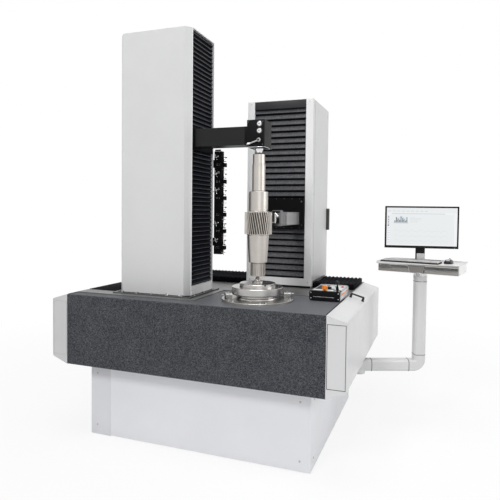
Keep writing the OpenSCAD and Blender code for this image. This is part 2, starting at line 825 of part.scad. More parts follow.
// Tailstock bellows in the window, from z0 to z1
module window_bellows(z0, z1) {
    w = win_y1 - win_y0 - 2;
    translate([tail_right - bellows_set - bellows_back, win_y1 - 1, z0 + slide_gap])
        rotate([90, 0, 0]) linear_extrude(w) mirror([1, 0, 0])
        polygon(fold_points(z1 - z0 - 2 * slide_gap, fold_pitch, fold_depth, 6));
}

module tailstock_upper_bellows() {
    color("black") window_bellows(arm_mid_z + tail_plate_h / 2, win_z1);
}

module tailstock_lower_bellows() {
    color("black") window_bellows(win_z0, arm_mid_z - tail_plate_h / 2);
}

module tailstock_carriage() {
    x0 = beam_face + 8;
    x1 = tail_right - bellows_set - bellows_back;
    color("dimgray") difference() {
        union() {
            translate([x0, tail_mid_y - 135, arm_mid_z - tail_plate_h / 2])
                cube([x1 - x0 + 1, 270, tail_plate_h]);
            translate([x1, win_y0 + 1, arm_mid_z - tail_plate_h / 2])
                cube([bellows_back, win_y1 - win_y0 - 2, tail_plate_h]);
        }
        for (y = [-95, 95]) translate([beam_face, tail_mid_y + y, arm_mid_z - tail_plate_h])
            upright_x() rail_space(2 * tail_plate_h);
        translate([x0 - 1, tail_mid_y - track_w / 2 - 6, arm_mid_z - tail_plate_h])
            cube([16 + air_gap - 8 + 1, track_w + 12, 2 * tail_plate_h]);
    }
}

module tailstock_arm() {
    x0 = tail_right - bellows_set;
    x1 = axis_x - head_w / 2;
    y0 = axis_y - arm_d / 2;
    color("#222222") {
        difference() {
            translate([0, y0 + arm_d, arm_z]) rotate([90, 0, 0]) linear_extrude(arm_d)
                polygon([[x0, 0], [x1 - 8, 0], [x1, 8], [x1, arm_h - 8], [x1 - 8, arm_h],
                         [x0, arm_h]]);
            translate([x0 + 60, y0 - 1, arm_z + arm_h]) rotate([0, 0, 0])
                translate([0, arm_d / 2 - 20, -4]) cube([x1 - x0 - 120, 42, 6]);
        }
    }
}

module tailstock_head() {
    color("#1a1a1a") difference() {
        translate([axis_x, axis_y, head_z]) linear_extrude(head_h)
            polygon(cut_box(head_w, head_d, 6));
        translate([axis_x, axis_y, head_z - 1]) cylinder(r = quill_r + fit_gap, h = head_h - 11);
        for (z = [button_low_z, button_low_z + button_step])
            translate([knob_x, head_front - 1, z]) rotate([-90, 0, 0])
                cylinder(r = button_stem_r + fit_gap, h = 21);
        translate([knob_x, head_front - 1, lever_z]) rotate([-90, 0, 0])
            cylinder(r = lever_pin_r + fit_gap, h = 25);
    }
}

// Push button on the head's front, centred at height z
module head_button(z) {
    color("silver") translate([knob_x, head_front, z]) rotate([90, 0, 0]) rotate_extrude()
        polygon([[0, -15], [button_stem_r, -15], [button_stem_r, 4], [button_r - 2, 4],
                 [button_r, 6], [button_r, 9], [button_r - 3, 12], [0, 12]]);
}

module up_button() { head_button(button_low_z + button_step); }
module down_button() { head_button(button_low_z); }

module clamp_lever() {
    color("silver") translate([knob_x, head_front, lever_z]) {
        rotate([90, 0, 0]) rotate_extrude() polygon([
            [0, -23], [lever_pin_r, -23], [lever_pin_r, 1], [13, 1], [14, 3], [14, 20],
            [11, 24], [0, 24]]);
        translate([0, -14, 0]) rotate([0, -90 - 18, 0]) rotate_extrude() polygon([
            [0, 0], [6, 0], [5, 60], [7, 68], [9, 78], [8, 86], [5, 91], [0, 92]]);
    }
}

module tailstock_quill() {
    color("silver") translate([axis_x, axis_y, head_z]) rotate_extrude() polygon([
        [centre_r + fit_gap, -nose_l], [centre_r + 6, -nose_l], [centre_r + 8, -nose_l + 3],
        [quill_r - 2, -8], [quill_r, -6], [quill_r, head_h - 30], [0, head_h - 30], [0, 40],
        [centre_r + fit_gap, 40]]);
}

module tailstock_centre() {
    color("silver") translate([axis_x, axis_y, shaft_top - centre_bite]) rotate_extrude()
        polygon([[0, 0], [centre_r, -cone_base(centre_r)], [centre_r, nose_l + 47],
                 [0, nose_l + 47]]);
}

module stylus_rack() {
    x0 = tail_right - 10;
    y0 = tail_y + tail_d;
    z0 = top_z + rack_low - 60;
    l = (rack_n - 1) * rack_pitch + 155;
    color("#222222") difference() {
        union() {
            translate([x0, y0, z0]) cube([rack_w, rack_d, l]);
            for (t = [0.12, 0.88]) translate([x0 - 60, y0, z0 + t * l - 30]) cube([61, 12, 60]);
            for (i = [0:rack_n - 1]) translate([x0 + rack_w - 1, y0, z0 + i * rack_pitch]) {
                translate([0, 0, 36]) cube([27, rack_d, 30]);
                translate([0, rack_d / 2, 108]) rotate([0, 90, 0]) cylinder(r = 4, h = 34);
            }
        }
        for (i = [0:rack_n - 1])
            translate([x0 + rack_w + 13, y0 + rack_d / 2, z0 + 35 + i * rack_pitch])
                cylinder(r = 7 + slide_gap, h = 32);
    }
}

module rack_styli() {
    x = tail_right - 10 + rack_w + 13;
    y = tail_y + tail_d + rack_d / 2;
    for (i = [0:rack_n - 1]) color("silver")
        translate([x, y, top_z + rack_low - 24 + i * rack_pitch]) rotate_extrude() polygon([
            [0, -40], [2, -42], [3, -38], [1.5, -34], [1.5, -8], [7, -4], [7, 30], [12, 30],
            [12, 38], [6, 42], [6, 54], [0, 54]]);
}

module column_saddle() {
    plate_z = slab_z + 52;
    color("slategray") difference() {
        union() {
            translate([column_left + sheet_t, column_y + sheet_t, plate_z])
                cube([column_w - 2 * sheet_t, column_d - 2 * sheet_t, saddle_top - plate_z]);
            for (x = [column_left, column_right - 4]) translate([x, tunnel_y0, slab_z + 2])
                cube([4, tunnel_y1 - tunnel_y0, 51]);
            for (x = [column_left + 50, column_right - 150], y = rail_y)
                translate([x, y - 40, slab_z + 8]) cube([100, 80, plate_z - slab_z - 7]);
        }
        for (y = rail_y) translate([column_left - 1, y, slab_z]) rail_space(column_w + 2);
    }
}

module column_housing() {
    z0 = slab_z + 2;
    h = column_top - z0;
    x0 = column_left + strip_w;
    w = column_w - 2 * strip_w;
    fold = 22;
    color("whitesmoke") {
        difference() {
            union() {
                difference() {
                    translate([column_left, column_y, z0]) cube([column_w, column_d, h]);
                    translate([column_left + sheet_t, column_y + sheet_t, z0 - 1])
                        cube([column_w - 2 * sheet_t, column_d - 2 * sheet_t, h + 1 - sheet_t]);
                }
                for (x = [x0 - sheet_t, x0 + w]) translate([x, column_y, saddle_top])
                    cube([sheet_t, fold, column_top - saddle_top]);
                translate([x0, column_y, sill_z - sheet_t]) cube([w, fold, sheet_t]);
            }
            translate([x0, column_y - 1, sill_z]) cube([w, fold + 2, column_top - sill_z - sheet_t]);
            translate([column_left - 1, tunnel_y0 - slide_gap, z0 - 1])
                cube([column_w + 2, tunnel_y1 - tunnel_y0 + 2 * slide_gap, 52]);
        }
        translate([column_right, column_back - 37, top_z + 456]) cube([22, 35, 189]);
    }
}

module column_beam() {
    x0 = column_left + strip_w + 1;
    h = column_top - 70 - saddle_top;
    color("#333333") {
        translate([column_beam_x, column_beam_y, saddle_top]) difference() {
            cube([column_beam_w, column_beam_d, h]);
            for (z = [100:300:h - 320]) translate([-1, 50, z])
                cube([column_beam_w + 2, column_beam_d - 100, 240]);
        }
        for (x = column_rail_x) translate([x, column_beam_y, saddle_top + 15])
            upright_y() rail(h - 60);
        translate([x0 - 1, column_y + bellows_set, column_top - sheet_t - cassette_h])
            cube([column_w - 2 * strip_w, 44, cassette_h]);
    }
}

module column_motor_track() {
    color("goldenrod")
        translate([(column_rail_x[0] + column_rail_x[1]) / 2, column_beam_y, saddle_top + 20])
            upright_y() motor_track(column_top - saddle_top - 160);
}

// Column bellows in the window, from z0 to z1
module column_bellows(z0, z1) {
    w = column_w - 2 * strip_w - 2;
    translate([column_left + strip_w + 1, column_y + bellows_set + bellows_back, z0 + slide_gap])
        rotate([90, 0, 90]) linear_extrude(w)
        polygon(fold_points(z1 - z0 - 2 * slide_gap, fold_pitch, fold_depth, 6));
}

module column_upper_bellows() {
    color("black") column_bellows(plate_z0 + plate_h, column_top - sheet_t - cassette_h);
}

module column_lower_bellows() {
    color("black") column_bellows(sill_z, plate_z0);
}

module probe_slide() {
    x0 = column_left + strip_w + 1;
    y0 = column_y + bellows_set;
    y1 = y0 + bellows_back + 6;
    block_x = column_rail_x[0] - 40;
    block_w = ram_x + 62 - block_x;
    track_x = (column_rail_x[0] + column_rail_x[1]) / 2;
    far = column_beam_y - 8;
    color("#222222") difference() {
        union() {
            translate([x0, y0, plate_z0])
                cube([column_w - 2 * strip_w - 2, y1 - y0, plate_h]);
            translate([column_x + plate_offset - plate_w / 2, y0 - 4 - plate_t, plate_z0])
                cube([plate_w, plate_t + 5, plate_h]);
            translate([block_x, y1 - 1, plate_z0]) cube([block_w, far - y1 + 1, plate_h]);
        }
        for (x = column_rail_x) translate([x, column_beam_y, plate_z0 - 10])
            upright_y() rail_space(plate_h + 20);
        translate([track_x - track_w / 2 - 6, column_beam_y - 16 - air_gap, plate_z0 - 1])
            cube([track_w + 12, 30, plate_h + 2]);
        translate([ram_x - ram_w / 2 - ram_gap, y0 - 5 - plate_t, ram_z - ram_h / 2 - ram_gap])
            cube([ram_w + 2 * ram_gap, 200, ram_h + 2 * ram_gap]);
        for (sx = [-1, 1], t = [0.12, 0.88])
            translate([column_x + plate_offset + sx * (plate_w / 2 - 18), y0 - 5 - plate_t,
                       plate_z0 + t * plate_h])
                rotate([-90, 0, 0]) cylinder(r = 8, h = 9);
    }
}

module measuring_ram() {
    color("lightslategray") translate([ram_x, ram_front, ram_z]) {
        rotate([-90, 0, 0]) linear_extrude(ram_l) difference() {
            polygon(cut_box(ram_w, ram_h, 4));
            translate([-22, -30]) square([44, 60]);
        }
        for (y = [0, ram_l - 12]) translate([0, y, 0]) rotate([-90, 0, 0]) linear_extrude(12)
            polygon(cut_box(ram_w - 2, ram_h - 2, 4));
    }
}

module probe_head() {
    z0 = ram_z - ram_h * 0.31;
    color("silver") difference() {
        translate([probe_x, probe_front + probe_d / 2, z0]) linear_extrude(probe_h)
            polygon(cut_box(probe_w, probe_d, 5));
        for (z = [14, probe_h - 20]) translate([probe_x, probe_front - 1, z0 + z])
            translate([-probe_w / 2 - 1, 0, 0]) cube([probe_w + 2, 3, 3]);
        translate([probe_x - 4, probe_front - 1, z0 + 30]) rotate([-90, 0, 0])
            cylinder(r = 6 + fit_gap, h = 21);
    }
}

module probe_stylus() {
    z0 = ram_z - ram_h * 0.31 + 30;
    ball = [axis_x, axis_y, z0 - 24] + concat((gear_r + ruby_r + slide_gap)
        * unit([probe_x - 21 - axis_x, probe_front - 22 - axis_y]), [0]);
    bend = [probe_x - 4, probe_front - 12, z0 - 24];
    v = ball - bend;
    color("white") {
        translate([probe_x - 4, probe_front - 12, z0]) rotate([-90, 0, 0])
            cylinder(r = 6, h = 30);
        translate([probe_x - 4, probe_front - 12, z0 - 28]) cylinder(r = 5, h = 58);
        translate(bend) rotate([0, 90, atan2(v[1], v[0])]) cylinder(r = 1.5, h = norm(v));
        translate(ball) sphere(r = ruby_r, $fn = 32);
    }
}

module arm_bracket() {
    t = bracket_t;
    z0 = hub_z - t;
    color("dimgray") {
        translate([ped_w / 2, pivot_y - 60, z0 - 40]) cube([14, 120, pedestal_h - 8 - (z0 - 40)]);
        difference() {
            union() {
                translate([ped_w / 2 + 13, pivot_y - 32, z0]) cube([pivot_x - ped_w / 2 - 13, 64, t]);
                translate([pivot_x, pivot_y, z0]) cylinder(r = hub_r, h = t);
                translate([ped_w / 2 + 13, pivot_y + 6, z0]) rotate([90, 0, 0])
                    linear_extrude(12) polygon([[0, 1], [90, 1], [0, -39]]);
            }
            for (x = [40, 90]) translate([ped_w / 2 + x, pivot_y, z0 - 60]) cylinder(r = 9, h = 120);
        }
        translate([pivot_x, pivot_y, z0 + t - 1]) cylinder(r = pivot_r, h = 70);
    }
}

// Section of the arm's profile, drawn in by a margin
module arm_section(inset = 0) {
    a = tube_r - inset;
    c = a - arm_chamfer;
    polygon([[-a, -c], [-c, -a], [c, -a], [a, -c], [a, c], [c, a], [-c, a], [-a, c]]);
}

module arm_tube() {
    r = tube_r + 4;
    color("lightgray") translate([pivot_x, pivot_y, 0]) rotate([0, 0, arm_heading]) {
        difference() {
            union() {
                translate([0, 0, hub_z + slide_gap])
                    cylinder(r = hub_r, h = arm_tube_z + tube_r - hub_z - slide_gap);
                for (s = [[0, knuckle_l, 0], [10, arm_reach - elbow_l + 10, seam],
                          [knuckle_l + seam, arm_reach - elbow_l - seam, 0],
                          [arm_reach - elbow_l, arm_reach - r, 0]])
                    translate([s[0], 0, arm_tube_z]) rotate([90, 0, 90])
                        linear_extrude(s[1] - s[0]) arm_section(s[2]);
            }
            translate([0, 0, hub_z - 1]) cylinder(r = pivot_r + fit_gap, h = 74);
            translate([hub_r, 0, arm_tube_z]) rotate([0, 90, 0])
                cylinder(r = tube_r - 6, h = arm_reach - r - hub_r - 10);
        }
        translate([arm_reach - r, 0, arm_tube_z + r]) rotate([90, 0, 0]) rotate([0, 0, -90])
            rotate_extrude(angle = 90) translate([r, 0]) arm_section();
        translate([arm_reach, 0, arm_tube_z + r]) linear_extrude(elbow_l - seam - r)
            arm_section();
        translate([arm_reach, 0, arm_tube_z + r]) linear_extrude(elbow_l - r)
            arm_section(seam);
    }
}

module arm_post() {
    z0 = arm_tube_z + elbow_l;
    color("lightgray") translate([post_x, post_y, 0]) {
        rotate([0, 0, arm_heading]) translate([0, 0, z0])
            linear_extrude(post_top - 14 - z0) arm_section();
        rotate_extrude() polygon([
            [0, post_top - 42], [tube_r + 1, post_top - 42], [tray_hub_r + 1, post_top - 12],
            [tray_hub_r + 1, post_top], [tray_pin_r, post_top], [tray_pin_r, tray_shelf_z - 4],
            [0, tray_shelf_z - 4]]);
    }
}

// Turns the tray's own frame, with the post's axis at x 0 and y 0, into place
module on_tray(turn = 0) {
    translate([post_x, post_y, 0]) rotate([0, 0, tray_turn + turn]) children();
}

module console_tray() {
    half = tray_w / 2;
    color("#444444") on_tray() {
        difference() {
            translate([0, 0, post_top + slide_gap])
                cylinder(r = tray_hub_r, h = tray_shelf_z - post_top);
            translate([0, 0, post_top]) cylinder(r = tray_pin_r + fit_gap,
                                                 h = tray_shelf_z - post_top - 2);
        }
        translate([-half, -tray_front, tray_z - 4]) cube([tray_w, tray_d, 4]);
        translate([-half, -tray_front, tray_z - 16]) cube([tray_w, 4, 13]);
        translate([6 - half, 30 - tray_front, tray_shelf_z]) difference() {
            cube([tray_w - 12, tray_d - 50, 22]);
            translate([-1, 4, 4]) cube([tray_w, tray_d - 58, 22]);
        }
        for (x = [6 - half, half - 10]) translate([x, 30 - tray_front, tray_shelf_z])
            cube([4, tray_d - 50, tray_z - tray_shelf_z - 1]);
        translate([0, 22 - tray_front, tray_shelf_z]) rotate([90, 0, 0]) linear_extrude(14)
            polygon([[-47, 0], [47, 0], [67, tray_z - tray_shelf_z - 3],
                     [-67, tray_z - tray_shelf_z - 3]]);
        translate([-47, 20 - tray_front, tray_shelf_z]) cube([94, 14, 4]);
    }
}

module monitor_stand() {
    color("#222222") on_tray() {
        translate([-110, 30, tray_z]) linear_extrude(8) polygon([
            [12, 0], [208, 0], [220, 12], [220, 138], [208, 150], [12, 150], [0, 138], [0, 12]]);
        rotate([0, 0, monitor_turn]) difference() {
            union() {
                translate([-34.5, tilt_y - 7, tray_z + 7]) cube([69, 14, tilt_z - tray_z - 7]);
                translate([-34.5, tilt_y, tilt_z]) rotate([0, 90, 0]) cylinder(r = 16, h = 69);
            }
            translate([-36, tilt_y, tilt_z]) rotate([0, 90, 0])
                cylinder(r = tilt_pin_r + fit_gap, h = 72);
        }
    }
}

module monitor() {
    back = tilt_y - 29;
    color("#222222") on_tray(monitor_turn) {
        difference() {
            translate([-monitor_w / 2, back - monitor_t, monitor_z])
                cube([monitor_w, monitor_t, monitor_h]);
            translate([9 - monitor_w / 2, back - monitor_t - 1, monitor_z + 16])
                cube([monitor_w - 18, 2.5, monitor_h - 25]);
        }
        translate([-90, back - 1, tilt_z - 70]) cube([180, 9, 140]);
        for (x = [-44.5, 35]) translate([x, 0, tilt_z]) rotate([90, 0, 90]) linear_extrude(9.5)
            polygon([[back + 7, -20], [tilt_y, -14], [tilt_y + 10, -10], [tilt_y + 14, 0],
                     [tilt_y + 10, 10], [tilt_y, 14], [back + 7, 20]]);
        translate([-40, tilt_y, tilt_z]) rotate([0, 90, 0]) cylinder(r = tilt_pin_r, h = 80);
    }
}

module keyboard() {
    color("#333333") on_tray() translate([-275, -118, tray_z]) {
        rotate([90, 0, 90]) linear_extrude(keyboard_w)
            polygon([[0, 0], [130, 0], [130, 14], [125, 15], [3, 10], [0, 8]]);
        for (row = [0:4]) translate([8, 12 + row * 21, 9]) {
            n = row == 0 ? 7 : 14;
            for (i = [0:n - 1]) let (w = (keyboard_w - 16) / n)
                translate([i * w, 0, 0]) cube([w - 3, 18, 6 + row * 0.8]);
        }
    }
}

module mouse() {
    color("#333333") on_tray() translate([200, 30, tray_z]) intersection() {
        hull() for (y = [-24, 20]) translate([0, y, 4]) scale([1, 1.05, 1])
            sphere(r = 30, $fn = 24);
        translate([-40, -80, 0]) cube([80, 160, 60]);
    }
}

module pendant_case() {
    x0 = right_x - pendant_from_right - pendant_w;
    c = 10;
    color("lightgray") difference() {
        union() {
            translate([x0, pendant_y + pendant_l - cap_t, top_z]) rotate([90, 0, 0])
                linear_extrude(pendant_l - 2 * cap_t) polygon([
                    [3, slab_t], [pendant_w - 3, slab_t], [pendant_w - 3, pendant_h - c],
                    [pendant_w - c, pendant_h - 3], [c, pendant_h - 3], [3, pendant_h - c]]);
            for (y = [cap_t, pendant_l]) translate([x0, pendant_y + y, top_z])
                rotate([90, 0, 0]) linear_extrude(cap_t) translate([cap_round, slab_t + cap_round])
                    offset(r = cap_round)
                        square([pendant_w - 2 * cap_round, pendant_h - slab_t - 2 * cap_round]);
            for (x = [30, pendant_w - 30]) translate([x0 + x, pendant_y + 30, top_z])
                cylinder(r = 12, h = slab_t + 1);
        }
        translate([stop_at[0], stop_at[1], pendant_z - 33]) cylinder(r = 8 + fit_gap, h = 40);
        translate([stick_at[0], stick_at[1], pendant_z - 40]) cylinder(r = 24, h = 50);
        translate([stick_at[0] - 30, stick_at[1], stick_z]) rotate([0, 90, 0])
            cylinder(r = 3 + fit_gap, h = 60);
        for (p = key_at) translate([p[0], p[1], pendant_z - 20])
            cylinder(r = 5 + fit_gap, h = 30);
    }
}

module e_stop_button() {
    color("orangered") translate([stop_at[0], stop_at[1], pendant_z - 3]) rotate_extrude()
        polygon([[0, -22], [8, -22], [8, 8], [17, 8], [20, 11], [20, 31], [18, 35], [10, 37],
                 [0, 37]]);
}

module joystick_gimbal() {
    color("silver") translate([stick_at[0], stick_at[1], stick_z]) difference() {
        union() {
            translate([0, 0, -4]) cylinder(r = 20, h = 8);
            translate([-29, 0, 0]) rotate([0, 90, 0]) cylinder(r = 3, h = 58);
        }
        translate([0, 0, -6]) cylinder(r = 14, h = 12);
        translate([0, 25, 0]) rotate([90, 0, 0]) cylinder(r = 2.5 + fit_gap, h = 50);
    }
}

module joystick() {
    color("black") translate([stick_at[0], stick_at[1], stick_z]) {
        rotate_extrude() polygon([[0, -5], [8, -5], [8, 5], [5, 8], [5, 62], [0, 62]]);
        translate([0, 0, 70]) sphere(r = 14);
        translate([0, 18, 0]) rotate([90, 0, 0]) cylinder(r = 2.5, h = 36);
    }
}

// Push key of the pendant at place p
module pendant_key(p) {
    translate([p[0], p[1], pendant_z - 3]) rotate_extrude()
        polygon([[0, -14], [5, -14], [5, 3], [9, 3], [9, 7], [7, 9], [0, 9]]);
}

module start_button() { color("green") pendant_key(key_at[0]); }
module stop_button() { color("red") pendant_key(key_at[1]); }

base_frame();
levelling_feet();
pedestal_front_panel();
pedestal_side_panels();
granite_bed();
table_plate();
left_side_cover();
right_side_cover();
cover_end_doors();
cover_handle();
guide_rails();
x_bellows_left();
x_bellows_right();
rotary_housing();
socket_screws();
table_clamps();
tailstock_base();
tailstock_housing();
tailstock_beam();
tailstock_motor_track();
tailstock_upper_bellows();
tailstock_lower_bellows();
stylus_rack();
rack_styli();
arm_bracket();
pendant_case();
tailstock_carriage();
tailstock_arm();
tailstock_head();
up_button();
down_button();
clamp_lever();
tailstock_quill();
tailstock_centre();
rotary_table();
faceplate();
lower_centre();
gear_shaft();
column_saddle();
column_housing();
column_beam();
column_motor_track();
column_upper_bellows();
column_lower_bellows();
probe_slide();
measuring_ram();
probe_head();
probe_stylus();
arm_tube();
arm_post();
console_tray();
monitor_stand();
monitor();
keyboard();
mouse();
e_stop_button();
joystick_gimbal();
joystick();
start_button();
stop_button();
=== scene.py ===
"""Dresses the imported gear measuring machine: finishes, fine parts, stage, lights and camera."""
import json
import logging
import math
from dataclasses import dataclass, field
from enum import Enum
from itertools import product
from typing import Any, Callable, Iterable, Mapping, Optional, Sequence, Union

import bmesh
import bpy
from mathutils import Matrix, Vector

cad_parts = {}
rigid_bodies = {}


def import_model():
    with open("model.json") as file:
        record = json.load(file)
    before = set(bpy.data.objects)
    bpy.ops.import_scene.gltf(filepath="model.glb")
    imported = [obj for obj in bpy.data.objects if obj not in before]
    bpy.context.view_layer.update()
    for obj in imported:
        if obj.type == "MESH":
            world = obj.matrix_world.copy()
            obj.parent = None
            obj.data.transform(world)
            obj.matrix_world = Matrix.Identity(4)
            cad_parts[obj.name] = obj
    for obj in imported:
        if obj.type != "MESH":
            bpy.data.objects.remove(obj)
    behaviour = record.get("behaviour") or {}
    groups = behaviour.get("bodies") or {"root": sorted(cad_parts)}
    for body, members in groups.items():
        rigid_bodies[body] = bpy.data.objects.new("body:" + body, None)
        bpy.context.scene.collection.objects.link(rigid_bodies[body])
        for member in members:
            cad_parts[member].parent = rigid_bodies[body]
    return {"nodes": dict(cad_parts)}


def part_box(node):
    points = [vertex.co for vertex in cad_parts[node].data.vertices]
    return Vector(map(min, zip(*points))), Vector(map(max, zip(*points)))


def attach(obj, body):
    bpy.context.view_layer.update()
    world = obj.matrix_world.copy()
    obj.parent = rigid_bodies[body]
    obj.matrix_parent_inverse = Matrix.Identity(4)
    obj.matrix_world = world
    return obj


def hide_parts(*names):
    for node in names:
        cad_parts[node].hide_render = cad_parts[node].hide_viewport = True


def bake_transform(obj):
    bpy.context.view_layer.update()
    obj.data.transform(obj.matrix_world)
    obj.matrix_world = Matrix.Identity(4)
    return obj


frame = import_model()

LOG = logging.getLogger("gear_machine")
MM = 0.001
Vec = Sequence[float]
Number = Union[int, float]


class Body(str, Enum):
    """Names of the CAD bodies that pieces ride on."""

    BED = "machine_bed"
    TAIL = "tailstock_slide"
    UP = "up_button"
    DOWN = "down_button"
    LEVER = "clamp_lever"
    TABLE = "rotary_table"
    COLUMN = "measuring_column"
    SLIDE = "probe_slide"
    RAM = "measuring_ram"
    ARM = "console_arm"
    TRAY = "console_tray"
    MONITOR = "monitor"
    STICK = "joystick"


@dataclass(frozen=True)
class Dimensions:
    """Main places of the CAD model, in millimetres of the row frame."""

    right: float = 950.0
    front: float = -800.0
    back: float = 700.0
    top: float = 1045.0
    slab: float = 1049.0
    axis: tuple[float, float] = (392.0, -480.0)
    tail_x0: float = -650.0
    tail_x1: float = -68.0
    tail_y0: float = -617.0
    tail_y1: float = -204.0
    tail_z: float = 1057.0
    tail_top: float = 2921.0
    column_x0: float = 58.0
    column_x1: float = 612.0
    column_y0: float = 142.0
    column_y1: float = 682.0
    column_top: float = 2551.0
    head_z: float = 2089.0
    plate_z0: float = 1521.5
    plate_h: float = 247.0
    post: tuple[float, float] = (1437.1, 260.2)
    tray_turn: float = -13.0


DIM = Dimensions()


# Shader graph


class Sock:
    """An output socket that can be used in arithmetic; each step adds one Math node."""

    def __init__(self, graph: "Graph", socket: bpy.types.NodeSocket) -> None:
        """Wraps a socket.

        Args:
            graph: The graph that holds the socket's node.
            socket: The output socket.
        """
        self.graph = graph
        self.socket = socket

    def math(self, operation: str, *others: Any) -> "Sock":
        """Adds a Math node whose first operand is this socket."""
        return self.graph.out("ShaderNodeMath", dict(enumerate((self, *others))), operation=operation)

    def __add__(self, other: Any) -> "Sock":
        """The sum."""
        return self.math("ADD", other)

    def __sub__(self, other: Any) -> "Sock":
        """The difference."""
        return self.math("SUBTRACT", other)

    def __rsub__(self, other: Any) -> "Sock":
        """The difference, with this socket taken off a number."""
        return self.graph.out("ShaderNodeMath", {0: other, 1: self}, operation="SUBTRACT")

    def __mul__(self, other: Any) -> "Sock":
        """The product."""
        return self.math("MULTIPLY", other)

    def __pow__(self, other: Any) -> "Sock":
        """The power."""
        return self.math("POWER", other)

    def __gt__(self, other: Any) -> "Sock":
        """1 where this is greater."""
        return self.math("GREATER_THAN", other)

    def __lt__(self, other: Any) -> "Sock":
        """1 where this is less."""
        return self.math("LESS_THAN", other)

    __radd__ = __add__
    __rmul__ = __mul__


class Graph:
    """The node tree of a material or the world, with short ways to add nodes."""

    def __init__(self, name: str, world: Optional[bpy.types.World] = None) -> None:
        """Makes a material with a Principled shader, unless a world is given.

        Args:
            name: The material's name.
            world: The world whose tree is to be built.
        """
        self.owner = world or bpy.data.materials.new(name)
        self.owner.use_nodes = True
        self.tree = self.owner.node_tree
        self._point: Optional[Sock] = None

    def node(self, kind: str, inputs: Mapping[Union[str, int], Any], **props: Any) -> bpy.types.Node:
        """Adds any node.

        Args:
            kind: Blender's node type.
            inputs: Values or sockets for the inputs, by name or number.
            **props: The node's own settings.

        Returns:
            The new node.
        """
        made = self.tree.nodes.new(kind)
        for key, value in props.items():
            setattr(made, key, value)
        for key, value in inputs.items():
            self.feed(made.inputs[key], value)
        return made

    def feed(self, socket: bpy.types.NodeSocket, value: Any) -> None:
        """Links a Sock to an input, or sets the input to a constant."""
        if isinstance(value, Sock):
            self.tree.links.new(value.socket, socket)
        else:
            socket.default_value = value

    def out(self, kind: str, inputs: Mapping[Union[str, int], Any], output: Union[str, int] = 0,
            **props: Any) -> Sock:
        """Adds a node and gives one of its outputs.

        Args:
            kind: Blender's node type.
            inputs: Values or sockets for the inputs.
            output: The output's name or number.
            **props: The node's own settings.

        Returns:
            The chosen output.
        """
        return Sock(self, self.node(kind, inputs, **props).outputs[output])

    @property
    def point(self) -> Sock:
        """The shaded point in the row frame, in metres."""
        if self._point is None:
            self._point = self.out("ShaderNodeTexCoord", {}, "Object")
        return self._point

    def axis(self, which: str) -> Sock:
        """The X, Y or Z coordinate of the shaded point."""
        return self.out("ShaderNodeSeparateXYZ", {0: self.point}, which)

    def stretched(self, scale: Vec) -> Sock:
        """The shaded point, scaled along each axis."""
        return self.out("ShaderNodeVectorMath", {0: self.point, 1: tuple(scale)}, operation="MULTIPLY")

    def noise(self, scale: Number, detail: Number = 3, rough: Number = 0.5,
              vector: Optional[Sock] = None) -> Sock:
        """Noise from 0 to 1 at a number of features per metre.

        Args:
            scale: The scale.
            detail: The octaves.
            rough: How strong the finer octaves are.
            vector: Where it is read.

        Returns:
            The noise.
        """
        inputs = {"Vector": vector or self.point, "Scale": scale, "Detail": detail, "Roughness": rough}
        return self.out("ShaderNodeTexNoise", inputs)

    def cells(self, scale: Number) -> Sock:
        """A random value from 0 to 1 for each cell of a Voronoi pattern of so many cells per metre."""
        colour = self.out("ShaderNodeTexVoronoi", {"Vector": self.point, "Scale": scale}, "Color")
        return self.out("ShaderNodeSeparateColor", {0: colour})

    def remap(self, value: Sock, low: Number, high: Number, to_low: Number = 0.0,
              to_high: Number = 1.0) -> Sock:
        """Maps a range to another and clamps it.

        Args:
            value: What is mapped.
            low: Start of the range.
            high: End of the range.
            to_low: What the start becomes.
            to_high: What the end becomes.

        Returns:
            The mapped value.
        """
        return self.out("ShaderNodeMapRange", {0: value, 1: low, 2: high, 3: to_low, 4: to_high})

    def mix(self, share: Any, first: Any, second: Any) -> Sock:
        """Mixes two colours.

        Args:
            share: How much of the second, from 0 to 1.
            first: The first colour.
            second: The second colour.

        Returns:
            The mixed colour.
        """
        made = self.node("ShaderNodeMix", {}, data_type="RGBA")
        self.feed(made.inputs[0], share)
        for number, colour in ((6, first), (7, second)):
            self.feed(made.inputs[number], colour if isinstance(colour, Sock) else rgba(colour))
        return Sock(self, made.outputs[2])

    def bump(self, height: Sock, depth: Number, strength: Number = 1.0,
             under: Optional[Sock] = None) -> Sock:
        """A bumped normal.

        Args:
            height: The height from 0 to 1.
            depth: What a height of 1 stands for, in metres.
            strength: How strong it is.
            under: A normal to build on.

        Returns:
            The normal.
        """
        inputs: dict[Union[str, int], Any] = {"Height": height, "Distance": depth, "Strength": strength}
        if under is not None:
            inputs["Normal"] = under
        return self.out("ShaderNodeBump", inputs)

    def finish(self, **sockets: Any) -> bpy.types.Material:
        """Feeds the Principled shader.

        Args:
            **sockets: Input names with underscores for spaces.

        Returns:
            The finished material.
        """
        shader = self.tree.nodes["Principled BSDF"]
        for name, value in sockets.items():
            plain_colour = name.endswith("Color") and not isinstance(value, Sock)
            self.feed(shader.inputs[name.replace("_", " ")], rgba(value) if plain_colour else value)
        return self.owner


def rgba(colour: Vec) -> tuple[float, float, float, float]:
    """A colour of three numbers with a full alpha added."""
    return (colour[0], colour[1], colour[2], 1.0)


# Finishes


@dataclass(frozen=True)
class Finish:
    """What every finish has."""

    name: str
    colour: tuple[float, float, float]
    rough: float = 0.4

    def darker(self, share: Number) -> tuple[float, ...]:
        """The colour times a factor."""
        return tuple(c * share for c in self.colour)

    def make(self) -> bpy.types.Material:
        """Builds the material."""
        raise NotImplementedError


